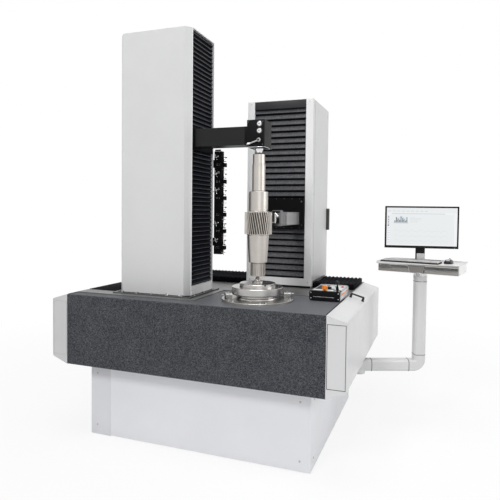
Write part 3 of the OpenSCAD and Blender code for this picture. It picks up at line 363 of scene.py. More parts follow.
@dataclass(frozen=True)
class Paint(Finish):
    """Powder coat or sprayed paint with a fine peel and light soiling."""

    peel: float = 900.0
    depth: float = 0.00004
    soil: float = 0.05
    coat: float = 0.15
    shine: float = 0.5

    def make(self) -> bpy.types.Material:
        """Builds the paint: soft clouds of soil, uneven gloss and an orange-peel bump.

        Returns:
            The material.
        """
        g = Graph(self.name)
        base = g.mix(g.remap(g.noise(2.2, 4, 0.6), 0.35, 0.7), self.colour, self.darker(1 - self.soil))
        rough = g.remap(g.noise(14, 5, 0.65), 0.3, 0.7, self.rough - 0.05, self.rough + 0.07)
        return g.finish(Base_Color=base, Roughness=rough,
                        Normal=g.bump(g.noise(self.peel, 2), self.depth, 0.6),
                        Coat_Weight=self.coat, Coat_Roughness=0.25, Specular_IOR_Level=self.shine)


@dataclass(frozen=True)
class Granite(Finish):
    """Dark gabbro of fine black, grey and pale crystals, its top polished to a soft shine and painted paler
    as a painted reflection.
    """

    light: tuple[float, float, float] = (0.115, 0.12, 0.13)
    pale: tuple[float, float, float] = (0.22, 0.225, 0.24)
    top_reflection: tuple[float, float, float] = (0.17, 0.175, 0.19)
    grain: float = 185.0
    top: float = 1.044

    def make(self) -> bpy.types.Material:
        """Builds the stone: two sizes of crystals, a few pale ones, and the top painted paler towards +x as
        a painted reflection.

        Returns:
            The material.
        """
        g = Graph(self.name)
        big, small = g.cells(self.grain), g.cells(self.grain * 2.7)
        tone = g.remap(big * 0.6 + small * 0.4 + g.noise(6, 4, 0.6) * 0.35, 0.42, 1.12)
        base = g.mix(tone, self.colour, self.light)
        base = g.mix(g.remap(g.cells(self.grain * 1.6), 0.93, 0.97) * 0.45, base, self.pale)
        # Painted reflection: the top face turns paler towards +x.
        face = g.remap(g.axis("Z"), self.top - 0.0005, self.top + 0.0005) * g.remap(g.axis("X"), -0.75, 0.6)
        base = g.mix(face * 0.72, base, self.top_reflection)
        rough = g.remap(small, 0.0, 1.0, self.rough - 0.06, self.rough + 0.12)
        return g.finish(Base_Color=base, Roughness=rough, Normal=g.bump(small, 0.00005, 0.3),
                        Specular_IOR_Level=0.1)


@dataclass(frozen=True)
class Steel(Finish):
    """Bare metal with fine tool marks along one way, and stains."""

    scratch: tuple[float, float, float] = (30.0, 30.0, 1500.0)
    stain: float = 0.18
    depth: float = 0.00003
    metallic: float = 1.0

    def marked(self, g: Graph, base: Sock, lines: Sock, metallic: Any) -> bpy.types.Material:
        """Finishes the metal with tool marks.

        Args:
            g: The material's graph.
            base: Its colour.
            lines: The tool marks, from 0 to 1.
            metallic: How metallic it is.

        Returns:
            The material.
        """
        rough = g.remap(lines, 0.25, 0.75, self.rough - 0.08, self.rough + 0.1)
        return g.finish(Base_Color=base, Roughness=rough, Metallic=metallic,
                        Normal=g.bump(lines, self.depth, 0.5))

    def make(self) -> bpy.types.Material:
        """Builds the metal: brushed lines and clouds of stain.

        Returns:
            The material.
        """
        g = Graph(self.name)
        lines = g.noise(1.0, 3, 0.6, g.stretched(self.scratch))
        cloud = g.remap(g.noise(9, 5, 0.65), 0.35, 0.75)
        base = g.mix(cloud * 0.6 + lines * 0.4, self.colour, self.darker(1 - self.stain))
        return self.marked(g, base, lines, self.metallic)


@dataclass(frozen=True)
class ShelfWithPaintedBackdrop(Steel):
    """Brushed steel at the front of the console's shelf, with white painted behind it in place of the
    bright background seen through the open shelf.
    """

    paint: tuple[float, float, float] = (0.86, 0.86, 0.85)
    front: float = -0.085

    def make(self) -> bpy.types.Material:
        """Builds the steel and the painted white, parted by the distance from the shelf's front.

        Returns:
            The material.
        """
        g = Graph(self.name)
        lines = g.noise(1.0, 3, 0.6, g.stretched(self.scratch))
        base = g.mix(lines, self.colour, self.darker(1 - self.stain))
        turned_by = math.radians(-DIM.tray_turn)
        x, y = (g.axis(name) - place * MM for name, place in zip("XY", DIM.post))
        # Painted light: behind the front, white stands in for the bright background seen through the shelf.
        behind = g.remap(x * math.sin(turned_by) + y * math.cos(turned_by), self.front, self.front + 0.003)
        return self.marked(g, g.mix(behind, base, self.paint), lines, 1 - behind)


@dataclass(frozen=True)
class Turned(Steel):
    """Turned metal: rings round an upright axis on the faces, and fine lines round the sides."""

    stain: float = 0.15
    centre: tuple[float, float] = (0.392, -0.480)
    pitch: float = 900.0
    shaded_gaps: tuple[tuple[float, float, float], ...] = ()
    gap_shade: tuple[float, float, float] = (0.13, 0.115, 0.095)

    def make(self) -> bpy.types.Material:
        """Builds the metal: rings, stains, and painted shade between splines and teeth.

        Returns:
            The material.
        """
        g = Graph(self.name)
        x, y, height = g.axis("X") - self.centre[0], g.axis("Y") - self.centre[1], g.axis("Z")
        radius = (x * x + y * y) ** 0.5
        line = g.out("ShaderNodeCombineXYZ", {0: radius * self.pitch, 1: 0.0, 2: height * self.pitch})
        rings = g.noise(1.0, 2, 0.6, line)
        cloud = g.remap(g.noise(16, 4, 0.6), 0.35, 0.75)
        base = g.mix(cloud * 0.6 + rings * 0.4, self.colour, self.darker(1 - self.stain))
        # Painted shade: the spaces between splines and teeth are darkened.
        for low, high, tip in self.shaded_gaps:
            in_shaded_gap = (height > low) * (height < high) * g.remap(radius, tip - 0.005, tip, 1.0, 0.0)
            base = g.mix(in_shaded_gap, base, self.gap_shade)
        return self.marked(g, base, rings, self.metallic)


@dataclass(frozen=True)
class Cloth(Finish):
    """Coated bellows fabric: a fine weave under a soft polymer skin."""

    weave: float = 700.0
    sheen: float = 0.05
    shine: float = 0.2
    crease_bump_and_shade: float = 0.0

    def make(self) -> bpy.types.Material:
        """Builds the fabric: weave, dust and creases.

        Returns:
            Builds the fabric: weave, dust, and creases that are bumped and painted darker as painted shade.
        """
        g = Graph(self.name)
        ways = (g.axis("X") + g.axis("Y"), g.axis("Z"))
        warp, weft = ((way * self.weave * 6.283).math("SINE") for way in ways)
        dust = g.remap(g.noise(18, 5, 0.7), 0.45, 0.8)
        base = g.mix(dust * 0.4, self.colour, tuple(c * 2.2 + 0.006 for c in self.colour))
        rough = g.remap(g.noise(60, 3), 0.3, 0.7, self.rough - 0.06, self.rough + 0.08)
        creases = g.remap(g.noise(1.0, 3, 0.6, g.stretched((95.0, 95.0, 190.0))), 0.38, 0.62)
        # Painted shade: the base colour is darkened along the creases.
        base = g.mix(creases * self.crease_bump_and_shade, base, self.darker(0.25))
        normal = g.bump(warp * weft * 0.5 + 0.5, 0.00006, 0.35, g.bump(creases, 0.0006, self.crease_bump_and_shade))
        return g.finish(Base_Color=base, Roughness=rough, Normal=normal, Sheen_Weight=self.sheen,
                        Sheen_Roughness=0.4, Specular_IOR_Level=self.shine)


@dataclass(frozen=True)
class Plastic(Finish):
    """Moulded plastic with a fine spark-eroded grain."""

    grain: float = 1400.0
    depth: float = 0.00003
    coat: float = 0.0
    shine: float = 0.3

    def make(self) -> bpy.types.Material:
        """Builds the plastic: faint clouds and the grain.

        Returns:
            The material.
        """
        g = Graph(self.name)
        base = g.mix(g.remap(g.noise(25, 3), 0.3, 0.75), self.colour, self.darker(0.88))
        rough = g.remap(g.noise(120, 3), 0.3, 0.7, self.rough - 0.04, self.rough + 0.06)
        return g.finish(Base_Color=base, Roughness=rough,
                        Normal=g.bump(g.noise(self.grain, 2, 0.6), self.depth, 0.5),
                        Coat_Weight=self.coat, Coat_Roughness=0.1, Specular_IOR_Level=self.shine)


@dataclass(frozen=True)
class Glow(Finish):
    """A lit patch of a display, with the faint raster of its pixels."""

    power: float = 0.88

    def make(self) -> bpy.types.Material:
        """Builds the lit patch.

        Returns:
            The material.
        """
        g = Graph(self.name)
        raster = g.remap((g.axis("Z") * 22000).math("SINE"), -1, 1, 0.92, 1.0)
        return g.finish(Base_Color=(0.02, 0.02, 0.02), Roughness=0.25, Emission_Strength=self.power,
                        Emission_Color=g.mix(raster, self.darker(0.85), self.colour))


@dataclass
class Palette:
    """All finishes of the part, each made once."""

    made: dict[str, bpy.types.Material] = field(default_factory=dict)

    def get(self, finish: Finish) -> bpy.types.Material:
        """Gives a finish's material, made at its first use."""
        if finish.name not in self.made:
            self.made[finish.name] = finish.make()
        return self.made[finish.name]


def shaded_tooth_gaps() -> tuple[tuple[float, float, float], ...]:
    """Bands of the workpiece where the spaces between its splines and teeth are painted darker as painted
    shade.

    Returns:
        For each band its lower and upper height and the radius below which it is dark, in metres.
    """
    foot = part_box("gear_shaft")[0][2]
    return ((foot + 0.004, foot + 0.090, 0.0490), (foot + 0.289, foot + 0.436, 0.0905))


WHITE = Paint("casing_white", (0.70, 0.70, 0.70), 0.42)
# Painted light: a lighter copy of the casing white for faces that should look more brightly lit.
LIT_WHITE = Paint("casing_front_white", (0.92, 0.92, 0.92), 0.42)
COVER = Paint("cover_white", (0.70, 0.70, 0.705), 0.38)
PANEL = Paint("panel_grey", (0.83, 0.835, 0.86), 0.5, depth=0.00008)
CORNER = Paint("corner_panel_grey", (0.755, 0.76, 0.785), 0.5, depth=0.00008)
LEFT_GREY = Paint("cover_left_grey", (0.60, 0.60, 0.60), 0.45)
FRAME = Paint("frame_grey", (0.12, 0.13, 0.14), 0.5)
SWITCH = Paint("switch_box_grey", (0.065, 0.062, 0.056), 0.5, shine=0.3)
CASSETTE = Paint("cassette_grey", (0.050, 0.050, 0.053), 0.42, 1500.0, 0.00006, 0.3, 0.0, 0.15)
BLACK = Paint("slide_black", (0.008, 0.008, 0.009), 0.5, 1500.0, 0.00006, 0.2, 0.0, 0.07)
HEAD = Paint("head_black", (0.021, 0.022, 0.021), 0.42, 1500.0, 0.00006, 0.2, 0.0, 0.1)
CONSOLE = Paint("console_grey", (0.68, 0.68, 0.675), 0.42)
TRAY = Paint("tray_white", (0.74, 0.74, 0.73), 0.4)
SHELF_WITH_BACKDROP = ShelfWithPaintedBackdrop("shelf_steel", (0.34, 0.325, 0.305), 0.34, scratch=(900.0, 9.0, 9.0), stain=0.2)
SOCKET = Paint("bracket_grey", (0.20, 0.19, 0.175), 0.5)
STONE = Granite("granite", (0.023, 0.025, 0.031), 0.44)
PLATE = Steel("plate_grey", (0.21, 0.21, 0.205), 0.40, scratch=(90.0, 4.0, 90.0), stain=0.25, metallic=0.55)
RAIL = Steel("rail_steel", (0.56, 0.57, 0.59), 0.28, scratch=(3.0, 900.0, 900.0))
RING = Turned("ring_steel", (0.45, 0.428, 0.405), 0.27)
DISC = Turned("disc_steel", (0.50, 0.485, 0.47), 0.27)
SHAFT = Turned("shaft_steel", (0.53, 0.50, 0.465), 0.34, pitch=700.0, stain=0.16, metallic=0.95,
               shaded_gaps=shaded_tooth_gaps())
CHROME = Steel("chrome", (0.80, 0.80, 0.81), 0.14, scratch=(60.0, 60.0, 60.0), stain=0.06, depth=0.00001)
ZINC = Steel("screw_steel", (0.52, 0.52, 0.53), 0.32, scratch=(300.0, 300.0, 300.0))
DARK_STEEL = Steel("dark_steel", (0.16, 0.16, 0.165), 0.38, scratch=(200.0, 200.0, 200.0))
RAM = Steel("ram_grey", (0.33, 0.33, 0.33), 0.34, scratch=(600.0, 5.0, 600.0), stain=0.15, metallic=0.6)
BELLOWS = Cloth("bellows_black", (0.009, 0.010, 0.014), 0.42, sheen=0.0, shine=0.06)
BELLOWS_BED = Cloth("bellows_bed", (0.006, 0.006, 0.008), 0.7, sheen=0.0, shine=0.02)
# Painted light and shade on one black fabric: a lighter lip as a painted highlight, a lit grey cloth for
# the column's bellows, and black undersides as painted shade.
BELLOWS_HIGHLIGHT = Cloth("bellows_lip", (0.075, 0.080, 0.095), 0.35)
BELLOWS_LIT = Cloth("bellows_grey", (0.110, 0.112, 0.122), 0.36, crease_bump_and_shade=0.75)
BELLOWS_SHADE = Cloth("bellows_shade", (0.004, 0.004, 0.005), 0.6, sheen=0.0, shine=0.05)
RUBBER = Plastic("rubber_black", (0.008, 0.008, 0.009), 0.6, shine=0.08)
FLANGE = Turned("flange_grey", (0.40, 0.392, 0.375), 0.30, pitch=500.0, stain=0.3, metallic=0.75)
CLAMP = Steel("clamp_steel", (0.30, 0.295, 0.285), 0.3, scratch=(200.0, 200.0, 200.0))
GREY_PLASTIC = Plastic("pendant_grey", (0.42, 0.43, 0.44), 0.42)
BLACK_PLASTIC = Plastic("plastic_black", (0.010, 0.010, 0.011), 0.34)
CAP_BLACK = Plastic("cap_black", (0.004, 0.004, 0.005), 0.16, shine=0.2, coat=0.1)
KEY_GREY = Plastic("key_grey", (0.62, 0.62, 0.61), 0.5)
STOP_YELLOW = Plastic("stop_yellow", (0.70, 0.52, 0.04), 0.4)
LEVER = Steel("lever_steel", (0.5, 0.5, 0.505), 0.3, scratch=(60.0, 60.0, 60.0), stain=0.1)
HANDLE = Steel("handle_black", (0.035, 0.035, 0.038), 0.22, scratch=(60.0, 60.0, 60.0), stain=0.06)
SCREEN_PLASTIC = Plastic("screen_frame", (0.006, 0.006, 0.007), 0.42, shine=0.15)
KEYS = Plastic("key_black", (0.012, 0.012, 0.014), 0.5)
ORANGE = Plastic("stop_orange", (1.0, 0.27, 0.02), 0.3, coat=0.4)
GREEN = Plastic("start_green", (0.02, 0.28, 0.10), 0.3, coat=0.3)
RED = Plastic("stop_red", (0.50, 0.03, 0.02), 0.3, coat=0.3)
CERAMIC = Plastic("ceramic_white", (0.72, 0.72, 0.70), 0.25, coat=0.3)
RUBY = Plastic("ruby", (0.45, 0.01, 0.02), 0.12, coat=0.5)
MAGNET = Steel("magnet_nickel", (0.50, 0.46, 0.38), 0.3, scratch=(40.0, 40.0, 40.0))

NODE_FINISH: dict[str, Finish] = {
    "base_frame": FRAME, "levelling_feet": ZINC, "pedestal_front_panel": PANEL,
    "pedestal_side_panels": PANEL,
    "granite_bed": STONE, "table_plate": PLATE, "left_side_cover": LEFT_GREY, "right_side_cover": COVER,
    "cover_end_doors": COVER, "cover_handle": HANDLE, "guide_rails": RAIL, "x_bellows_left": BELLOWS,
    "x_bellows_right": BELLOWS, "rotary_housing": FLANGE, "socket_screws": ZINC, "table_clamps": CLAMP,
    "tailstock_base": DARK_STEEL, "tailstock_housing": WHITE, "tailstock_beam": FRAME,
    "tailstock_motor_track": MAGNET, "tailstock_upper_bellows": BELLOWS, "tailstock_lower_bellows": BELLOWS,
    "stylus_rack": BLACK, "rack_styli": CHROME, "arm_bracket": CONSOLE, "pendant_case": GREY_PLASTIC,
    "tailstock_carriage": BLACK, "tailstock_arm": HEAD, "tailstock_head": HEAD, "up_button": CHROME,
    "down_button": CHROME, "clamp_lever": LEVER, "tailstock_quill": CHROME, "tailstock_centre": RING,
    "rotary_table": DISC, "faceplate": DISC, "lower_centre": RING, "gear_shaft": SHAFT,
    "column_saddle": FRAME,
    "column_housing": WHITE, "column_beam": BLACK, "column_motor_track": MAGNET,
    "column_upper_bellows": BELLOWS,
    "column_lower_bellows": BELLOWS, "probe_slide": BLACK, "measuring_ram": RAM, "probe_head": DARK_STEEL,
    "probe_stylus": CERAMIC, "arm_tube": CONSOLE, "arm_post": CONSOLE, "console_tray": TRAY,
    "monitor_stand": SCREEN_PLASTIC, "monitor": SCREEN_PLASTIC, "keyboard": KEYS, "mouse": BLACK_PLASTIC,
    "e_stop_button": ORANGE, "joystick_gimbal": RAIL, "joystick": BLACK_PLASTIC, "start_button": GREEN,
    "stop_button": RED,
}


def paint_faces(piece: bpy.types.Object, finishes: Sequence[Finish],
                choose: Callable[[Vector, Vector], int]) -> None:
    """Gives the faces of a piece different finishes.

    Args:
        piece: The piece or node.
        finishes: The finishes in order.
        choose: Gives a finish's number from a face's centre, in millimetres, and its normal.
    """
    piece.data.materials.clear()
    for finish in finishes:
        piece.data.materials.append(PALETTE.get(finish))
    place = piece.matrix_world
    for face in piece.data.polygons:
        face.material_index = choose(place @ face.center / MM, place.to_3x3() @ face.normal)


# Mesh shapes


class Shape:
    """Collects solids in one mesh, in millimetres of the row frame."""

    def __init__(self, place: Optional[Matrix] = None) -> None:
        """Starts an empty mesh.

        Args:
            place: Where the shape's own frame sits, in millimetres.
        """
        self.bm = bmesh.new()
        self.place = place or Matrix.Identity(4)

    def at(self, where: Optional[Matrix]) -> Matrix:
        """A frame that is given in the shape's own one, or the shape's own."""
        return self.place @ where if where else self.place

    def box(self, low: Vec, high: Vec, round_: float = 0.0, where: Optional[Matrix] = None,
            segments: int = 2) -> "Shape":
        """Adds a box with rounded edges.

        Args:
            low: Lowest corner.
            high: Highest corner.
            round_: Radius of its edges.
            where: Where its frame sits.
            segments: Facets of each rounded edge.

        Returns:
            The shape.
        """
        size = [b - a for a, b in zip(low, high)]
        mid = [(a + b) / 2 for a, b in zip(low, high)]
        made = bmesh.ops.create_cube(self.bm, size=1.0)["verts"]
        m = self.at(where) @ Matrix.Translation(mid) @ Matrix.Diagonal((*size, 1))
        bmesh.ops.transform(self.bm, matrix=m, verts=made)
        if round_ > 0:
            edges = list({e for v in made for e in v.link_edges})
            bmesh.ops.bevel(self.bm, geom=edges, offset=round_, segments=segments, affect="EDGES",
                            profile=0.5)
        return self

    def lathe(self, profile: Sequence[Vec], where: Optional[Matrix] = None, sides: int = 48) -> "Shape":
        """Turns a profile of (radius, height) pairs round the frame's Z axis.

        Args:
            profile: The pairs, from bottom to top.
            where: Where its frame sits.
            sides: Facets round the axis.

        Returns:
            The shape.
        """
        m = self.at(where)
        rings: list[list[bmesh.types.BMVert]] = []
        for r, h in profile:
            if r < 1e-6:
                rings.append([self.bm.verts.new(m @ Vector((0, 0, h)))])
            else:
                rings.append([self.bm.verts.new(m @ Vector((r * math.cos(a), r * math.sin(a), h)))
                              for a in (2 * math.pi * i / sides for i in range(sides))])
        for low, high in zip(rings, rings[1:]):
            for i in range(sides):
                j = (i + 1) % sides
                quad = [low[i % len(low)], low[j % len(low)], high[j % len(high)], high[i % len(high)]]
                unique = list(dict.fromkeys(quad))
                if len(unique) > 2:
                    self.bm.faces.new(unique)
        for ring in (rings[0], rings[-1]):
            if len(ring) > 1:
                self.bm.faces.new(ring)
        return self

    def prism(self, outline: Sequence[Vec], length: float, where: Optional[Matrix] = None,
              round_: float = 0.0) -> "Shape":
        """Extrudes an outline along the frame's Z axis.

        Args:
            outline: The (x, y) corners.
            length: How far.
            where: Where its frame sits.
            round_: Radius of its edges.

        Returns:
            The shape.
        """
        m = self.at(where)
        low = [self.bm.verts.new(m @ Vector((x, y, 0))) for x, y in outline]
        high = [self.bm.verts.new(m @ Vector((x, y, length))) for x, y in outline]
        n = len(outline)
        self.bm.faces.new(low[::-1])
        self.bm.faces.new(high)
        for i in range(n):
            self.bm.faces.new((low[i], low[(i + 1) % n], high[(i + 1) % n], high[i]))
        if round_ > 0:
            edges = list({e for v in low + high for e in v.link_edges})
            bmesh.ops.bevel(self.bm, geom=edges, offset=round_, segments=2, affect="EDGES", profile=0.5)
        return self

    def tube(self, path: Sequence[Vec], radius: float, sides: int = 12) -> "Shape":
        """Sweeps a circle along a path and closes its ends.

        Args:
            path: The points.
            radius: The tube's radius.
            sides: Facets round it.

        Returns:
            The shape.
        """
        points = [self.place @ Vector(p) for p in path]
        rings: list[list[bmesh.types.BMVert]] = []
        side = Vector((0, 0, 1))
        for i, p in enumerate(points):
            along = (points[min(i + 1, len(points) - 1)] - points[max(i - 1, 0)]).normalized()
            side = side - along * side.dot(along)
            if side.length < 1e-4:
                side = along.orthogonal()
            side.normalize()
            other = along.cross(side)
            rings.append([self.bm.verts.new(p + side * radius * math.cos(a) + other * radius * math.sin(a))
                          for a in (2 * math.pi * k / sides for k in range(sides))])
        for low, high in zip(rings, rings[1:]):
            for k in range(sides):
                self.bm.faces.new((low[k], low[(k + 1) % sides], high[(k + 1) % sides], high[k]))
        self.bm.faces.new(rings[0][::-1])
        self.bm.faces.new(rings[-1])
        return self

    def sheet(self, rows: Sequence[Sequence[Vec]]) -> "Shape":
        """Adds a grid of points as a skin.

        Args:
            rows: Rows of points, all of one length.

        Returns:
            The shape.
        """
        grid = [[self.bm.verts.new(self.place @ Vector(p)) for p in row] for row in rows]
        for a, b in zip(grid, grid[1:]):
            for i in range(len(a) - 1):
                self.bm.faces.new((a[i], a[i + 1], b[i + 1], b[i]))
        return self

    def piece(self, name: str, body: Optional[Body], finish: Finish,
              sharp: float = 32.0) -> bpy.types.Object:
        """Makes the object and lets it ride a body.

        Args:
            name: The piece's name.
            body: The body it rides on, or none.
            finish: Its finish.
            sharp: Edges steeper than this many degrees stay sharp.

        Returns:
            The object.
        """
        bmesh.ops.scale(self.bm, vec=(MM, MM, MM), verts=self.bm.verts)
        bmesh.ops.recalc_face_normals(self.bm, faces=self.bm.faces)
        mesh = bpy.data.meshes.new(name)
        self.bm.to_mesh(mesh)
        self.bm.free()
        mesh.shade_smooth()
        mesh.set_sharp_from_angle(angle=math.radians(sharp))
        made = bpy.data.objects.new(name, mesh)
        bpy.context.scene.collection.objects.link(made)
        made.data.materials.append(PALETTE.get(finish))
        if body is not None:
            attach(made, body.value)
        return made


PALETTE = Palette()


def move(x: float, y: float, z: float) -> Matrix:
    """A shift in millimetres."""
    return Matrix.Translation((x, y, z))


def turn(degrees: float, axis: str) -> Matrix:
    """A turn about one axis."""
    return Matrix.Rotation(math.radians(degrees), 4, axis)


FACE_FRONT = turn(90, "X")
FACE_BACK = turn(-90, "X")
FACE_RIGHT = turn(90, "Y")
FACE_LEFT = turn(-90, "Y")
UPRIGHT = Matrix.Identity(4)


def socket_head(shape: Shape, where: Matrix, r: float, h: float) -> None:
    """Adds a socket head screw, its head standing on the frame's Z axis.

    Args:
        shape: The shape it goes in.
        where: Where its frame sits.
        r: The head's radius.
        h: The head's height.
    """
    profile = [(r - 0.4, 0), (r, 0.5), (r, h - 0.6), (r - 0.6, h), (r * 0.56, h), (r * 0.5, h * 0.45),
               (0, h * 0.4)]
    shape.lathe(profile, where, 24)


def socket_heads(shape: Shape, face: Matrix, r: float, h: float, *spans: Iterable[float]) -> None:
    """Adds a socket head screw at every meeting of some x, y and z places.

    Args:
        shape: The shape they go in.
        face: The way they stand out.
        r: Their radius.
        h: Their height.
        *spans: The places along x, y and z.
    """
    for spot in product(*spans):
        socket_head(shape, move(*spot) @ face, r, h)


def pan_heads(shape: Shape, face: Matrix, r: float, *spans: Iterable[float]) -> None:
    """Adds a domed screw head at every meeting of some x, y and z places.

    Args:
        shape: The shape they go in.
        face: The way they stand out.
        r: Their radius.
        *spans: The places along x, y and z.
    """
    profile = [(r, 0), (r, r * 0.15), (r * 0.8, r * 0.42), (r * 0.35, r * 0.5), (r * 0.3, r * 0.28),
               (0, r * 0.25)]
    for spot in product(*spans):
        shape.lathe(profile, move(*spot) @ face, 20)


def collar(inner: float, outer: float, side: float, top: float, chamfer: float) -> list[Vec]:
    """The profile of a low ring with a chamfer.

    Args:
        inner: The radius of its hole.
        outer: Its own radius.
        side: The height of its side.
        top: The height of its top.
        chamfer: How far the chamfer reaches in.

    Returns:
        The profile.
    """
    return [(inner, 0), (outer, 0), (outer, side), (outer - chamfer, top), (inner, top), (inner, 0)]


def slab(name: str, body: Body, finish: Finish, low: Vec, high: Vec, round_: float = 0.0,
         place: Optional[Matrix] = None) -> None:
    """Makes a piece of one box, from what Shape, its box and its piece take."""
    Shape(place).box(low, high, round_).piece(name, body, finish)


def turned(name: str, body: Body, finish: Finish, profile: Sequence[Vec], where: Matrix,
           sides: int) -> None:
    """Makes a piece of one turned profile, from what Shape's lathe and piece take."""
    Shape().lathe(profile, where, sides).piece(name, body, finish)


# Bellows


def cover_with(made: bpy.types.Object, node: str) -> None:
    """Thickens a folded sheet, bakes its place into its mesh and hides the CAD node it takes the place of.

    Args:
        made: The sheet.
        node: The CAD node it takes the place of.
    """
    thick = made.modifiers.new("thickness", "SOLIDIFY")
    thick.thickness = 0.0011
    thick.offset = 0.0
    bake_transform(made)
    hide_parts(node)


@dataclass(frozen=True)
class UprightBellows:
    """Folded cover that runs up and down in a window, in its own frame: width along x, tips towards -y."""

    name: str
    node: str
    fixed: Body
    moving: Body
    z0: float
    z1: float
    fixed_low: bool
    corner: tuple[float, float] = (119.0, 166.0)
    heading: float = 0.0
    width: float = 432.0
    pitch: float = 49.0
    depth: float = 15.0
    back: float = 3.0
    under: float = 0.30
    # The column's bellows default to the lit grey, which is painted light.
    cloth: Finish = BELLOWS_LIT
    lip: Finish = BELLOWS_LIT

    def profile(self, z: float, step: float) -> list[tuple[float, float]]:
        """One fold's side view as (depth, z) pairs, from its root to above its lip.

        Args:
            z: Where the fold starts.
            step: Its height.

        Returns:
            The points.
        """
        points = ((0.0, 0.0), (0.45, self.under * 0.5), (0.94, self.under * 0.9), (1.0, self.under),
                  (1.0, self.under + 0.08), (0.93, self.under + 0.12), (0.42, 0.84))
        return [(-self.back - self.depth * out, z + (step * up or 0.3)) for out, up in points]

    def build(self) -> None:
        """Makes the folded sheet with its stiffened lips."""
        count = max(2, round((self.z1 - self.z0) / self.pitch))
        step = (self.z1 - self.z0) / count
        line = [point for i in range(count) for point in self.profile(self.z0 + i * step, step)]
        line.append((-self.back, self.z1 - 0.3))
        w = self.width
        xs = [0.0, 1.5, 5.0, w * 0.25, w * 0.5, w * 0.75, w - 5.0, w - 1.5, w]
        curl = [2.4, 0.6, 0, 0, 0, 0, 0, 0.6, 2.4]
        rows = []
        for y, z in line:
            lift = (-self.back - y) / self.depth
            rows.append([(x, y + curl[k] * lift + 0.5 * lift * math.sin(k * 1.9 + z * 0.031), z)
                         for k, x in enumerate(xs)])
        place = move(*self.corner, 0) @ turn(self.heading, "Z")
        made = Shape(place).sheet(rows).piece(self.name, None, self.cloth, 26)

        def part_of_fold(centre: Vector, _normal: Vector) -> int:
            """Tells the fold's underside, painted black as painted shade (1), its lip, painted as a
            highlight (2), and its cloth (0) apart.
            """
            share = (centre.z - self.z0) / step % 1.0
            return 1 if share < self.under else 2 if share < self.under + 0.125 else 0

        # Painted shade on the undersides, a painted highlight on the lips.
        paint_faces(made, (self.cloth, BELLOWS_SHADE, self.lip), part_of_fold)
        cover_with(made, self.node)


@dataclass(frozen=True)
class BedBellows:
    """Tunnel of folds over the rails on the bed, along x."""

    name: str
    node: str
    x0: float
    x1: float
    fixed_low: bool
    y0: float = 187.0
    y1: float = 620.0
    floor: float = 1049.3
    height: float = 46.0
    rise: float = 8.0
    depth: float = 13.0
    sag: float = 9.0
    pitch: float = 34.0
    corner: float = 5.0

    def section(self, x: float, out: float) -> list[Vec]:
        """The tunnel's section at one place of a fold.

        Args:
            x: The place along the bed.
            out: 0 in a valley, 1 on a crest.

        Returns:
            The points, from the front foot to the rear one.
        """
        inset, c, floor = self.depth * (1 - out), self.corner, self.floor
        top = floor + self.height - self.rise * (1 - out)
        y0, y1 = self.y0 + inset, self.y1 - inset
        front = [(y0, floor), (y0, floor + 20), (y0, top - c), (y0 + c * 0.3, top - c * 0.3), (y0 + c, top)]
        middle = [(self.y0 + 86, top), (self.y0 + 130, top - self.sag), (self.y1 - 130, top - self.sag),
                  (self.y1 - 72, top)]
        rear = [(y1 - (y - y0), z) for y, z in reversed(front)]
        return [(x, y, z) for y, z in front + middle + rear]

    def build(self) -> None:
        """Makes the tunnel of folds."""
        count = max(2, round((self.x1 - self.x0) / self.pitch))
        quarter = (self.x1 - self.x0) / count / 4
        waves = (0.0, 0.55, 1.0, 0.55)
        rows = [self.section(self.x0 + i * quarter, waves[i % 4]) for i in range(count * 4 + 1)]
        made = Shape().sheet(rows).piece(self.name, None, BELLOWS_BED, 26)
        cover_with(made, self.node)


# Sub-assemblies


def tray_frame(extra: float = 0.0) -> Matrix:
    """The console tray's own frame at rest, with a further turn in degrees."""
    return move(*DIM.post, 0) @ turn(DIM.tray_turn + extra, "Z")


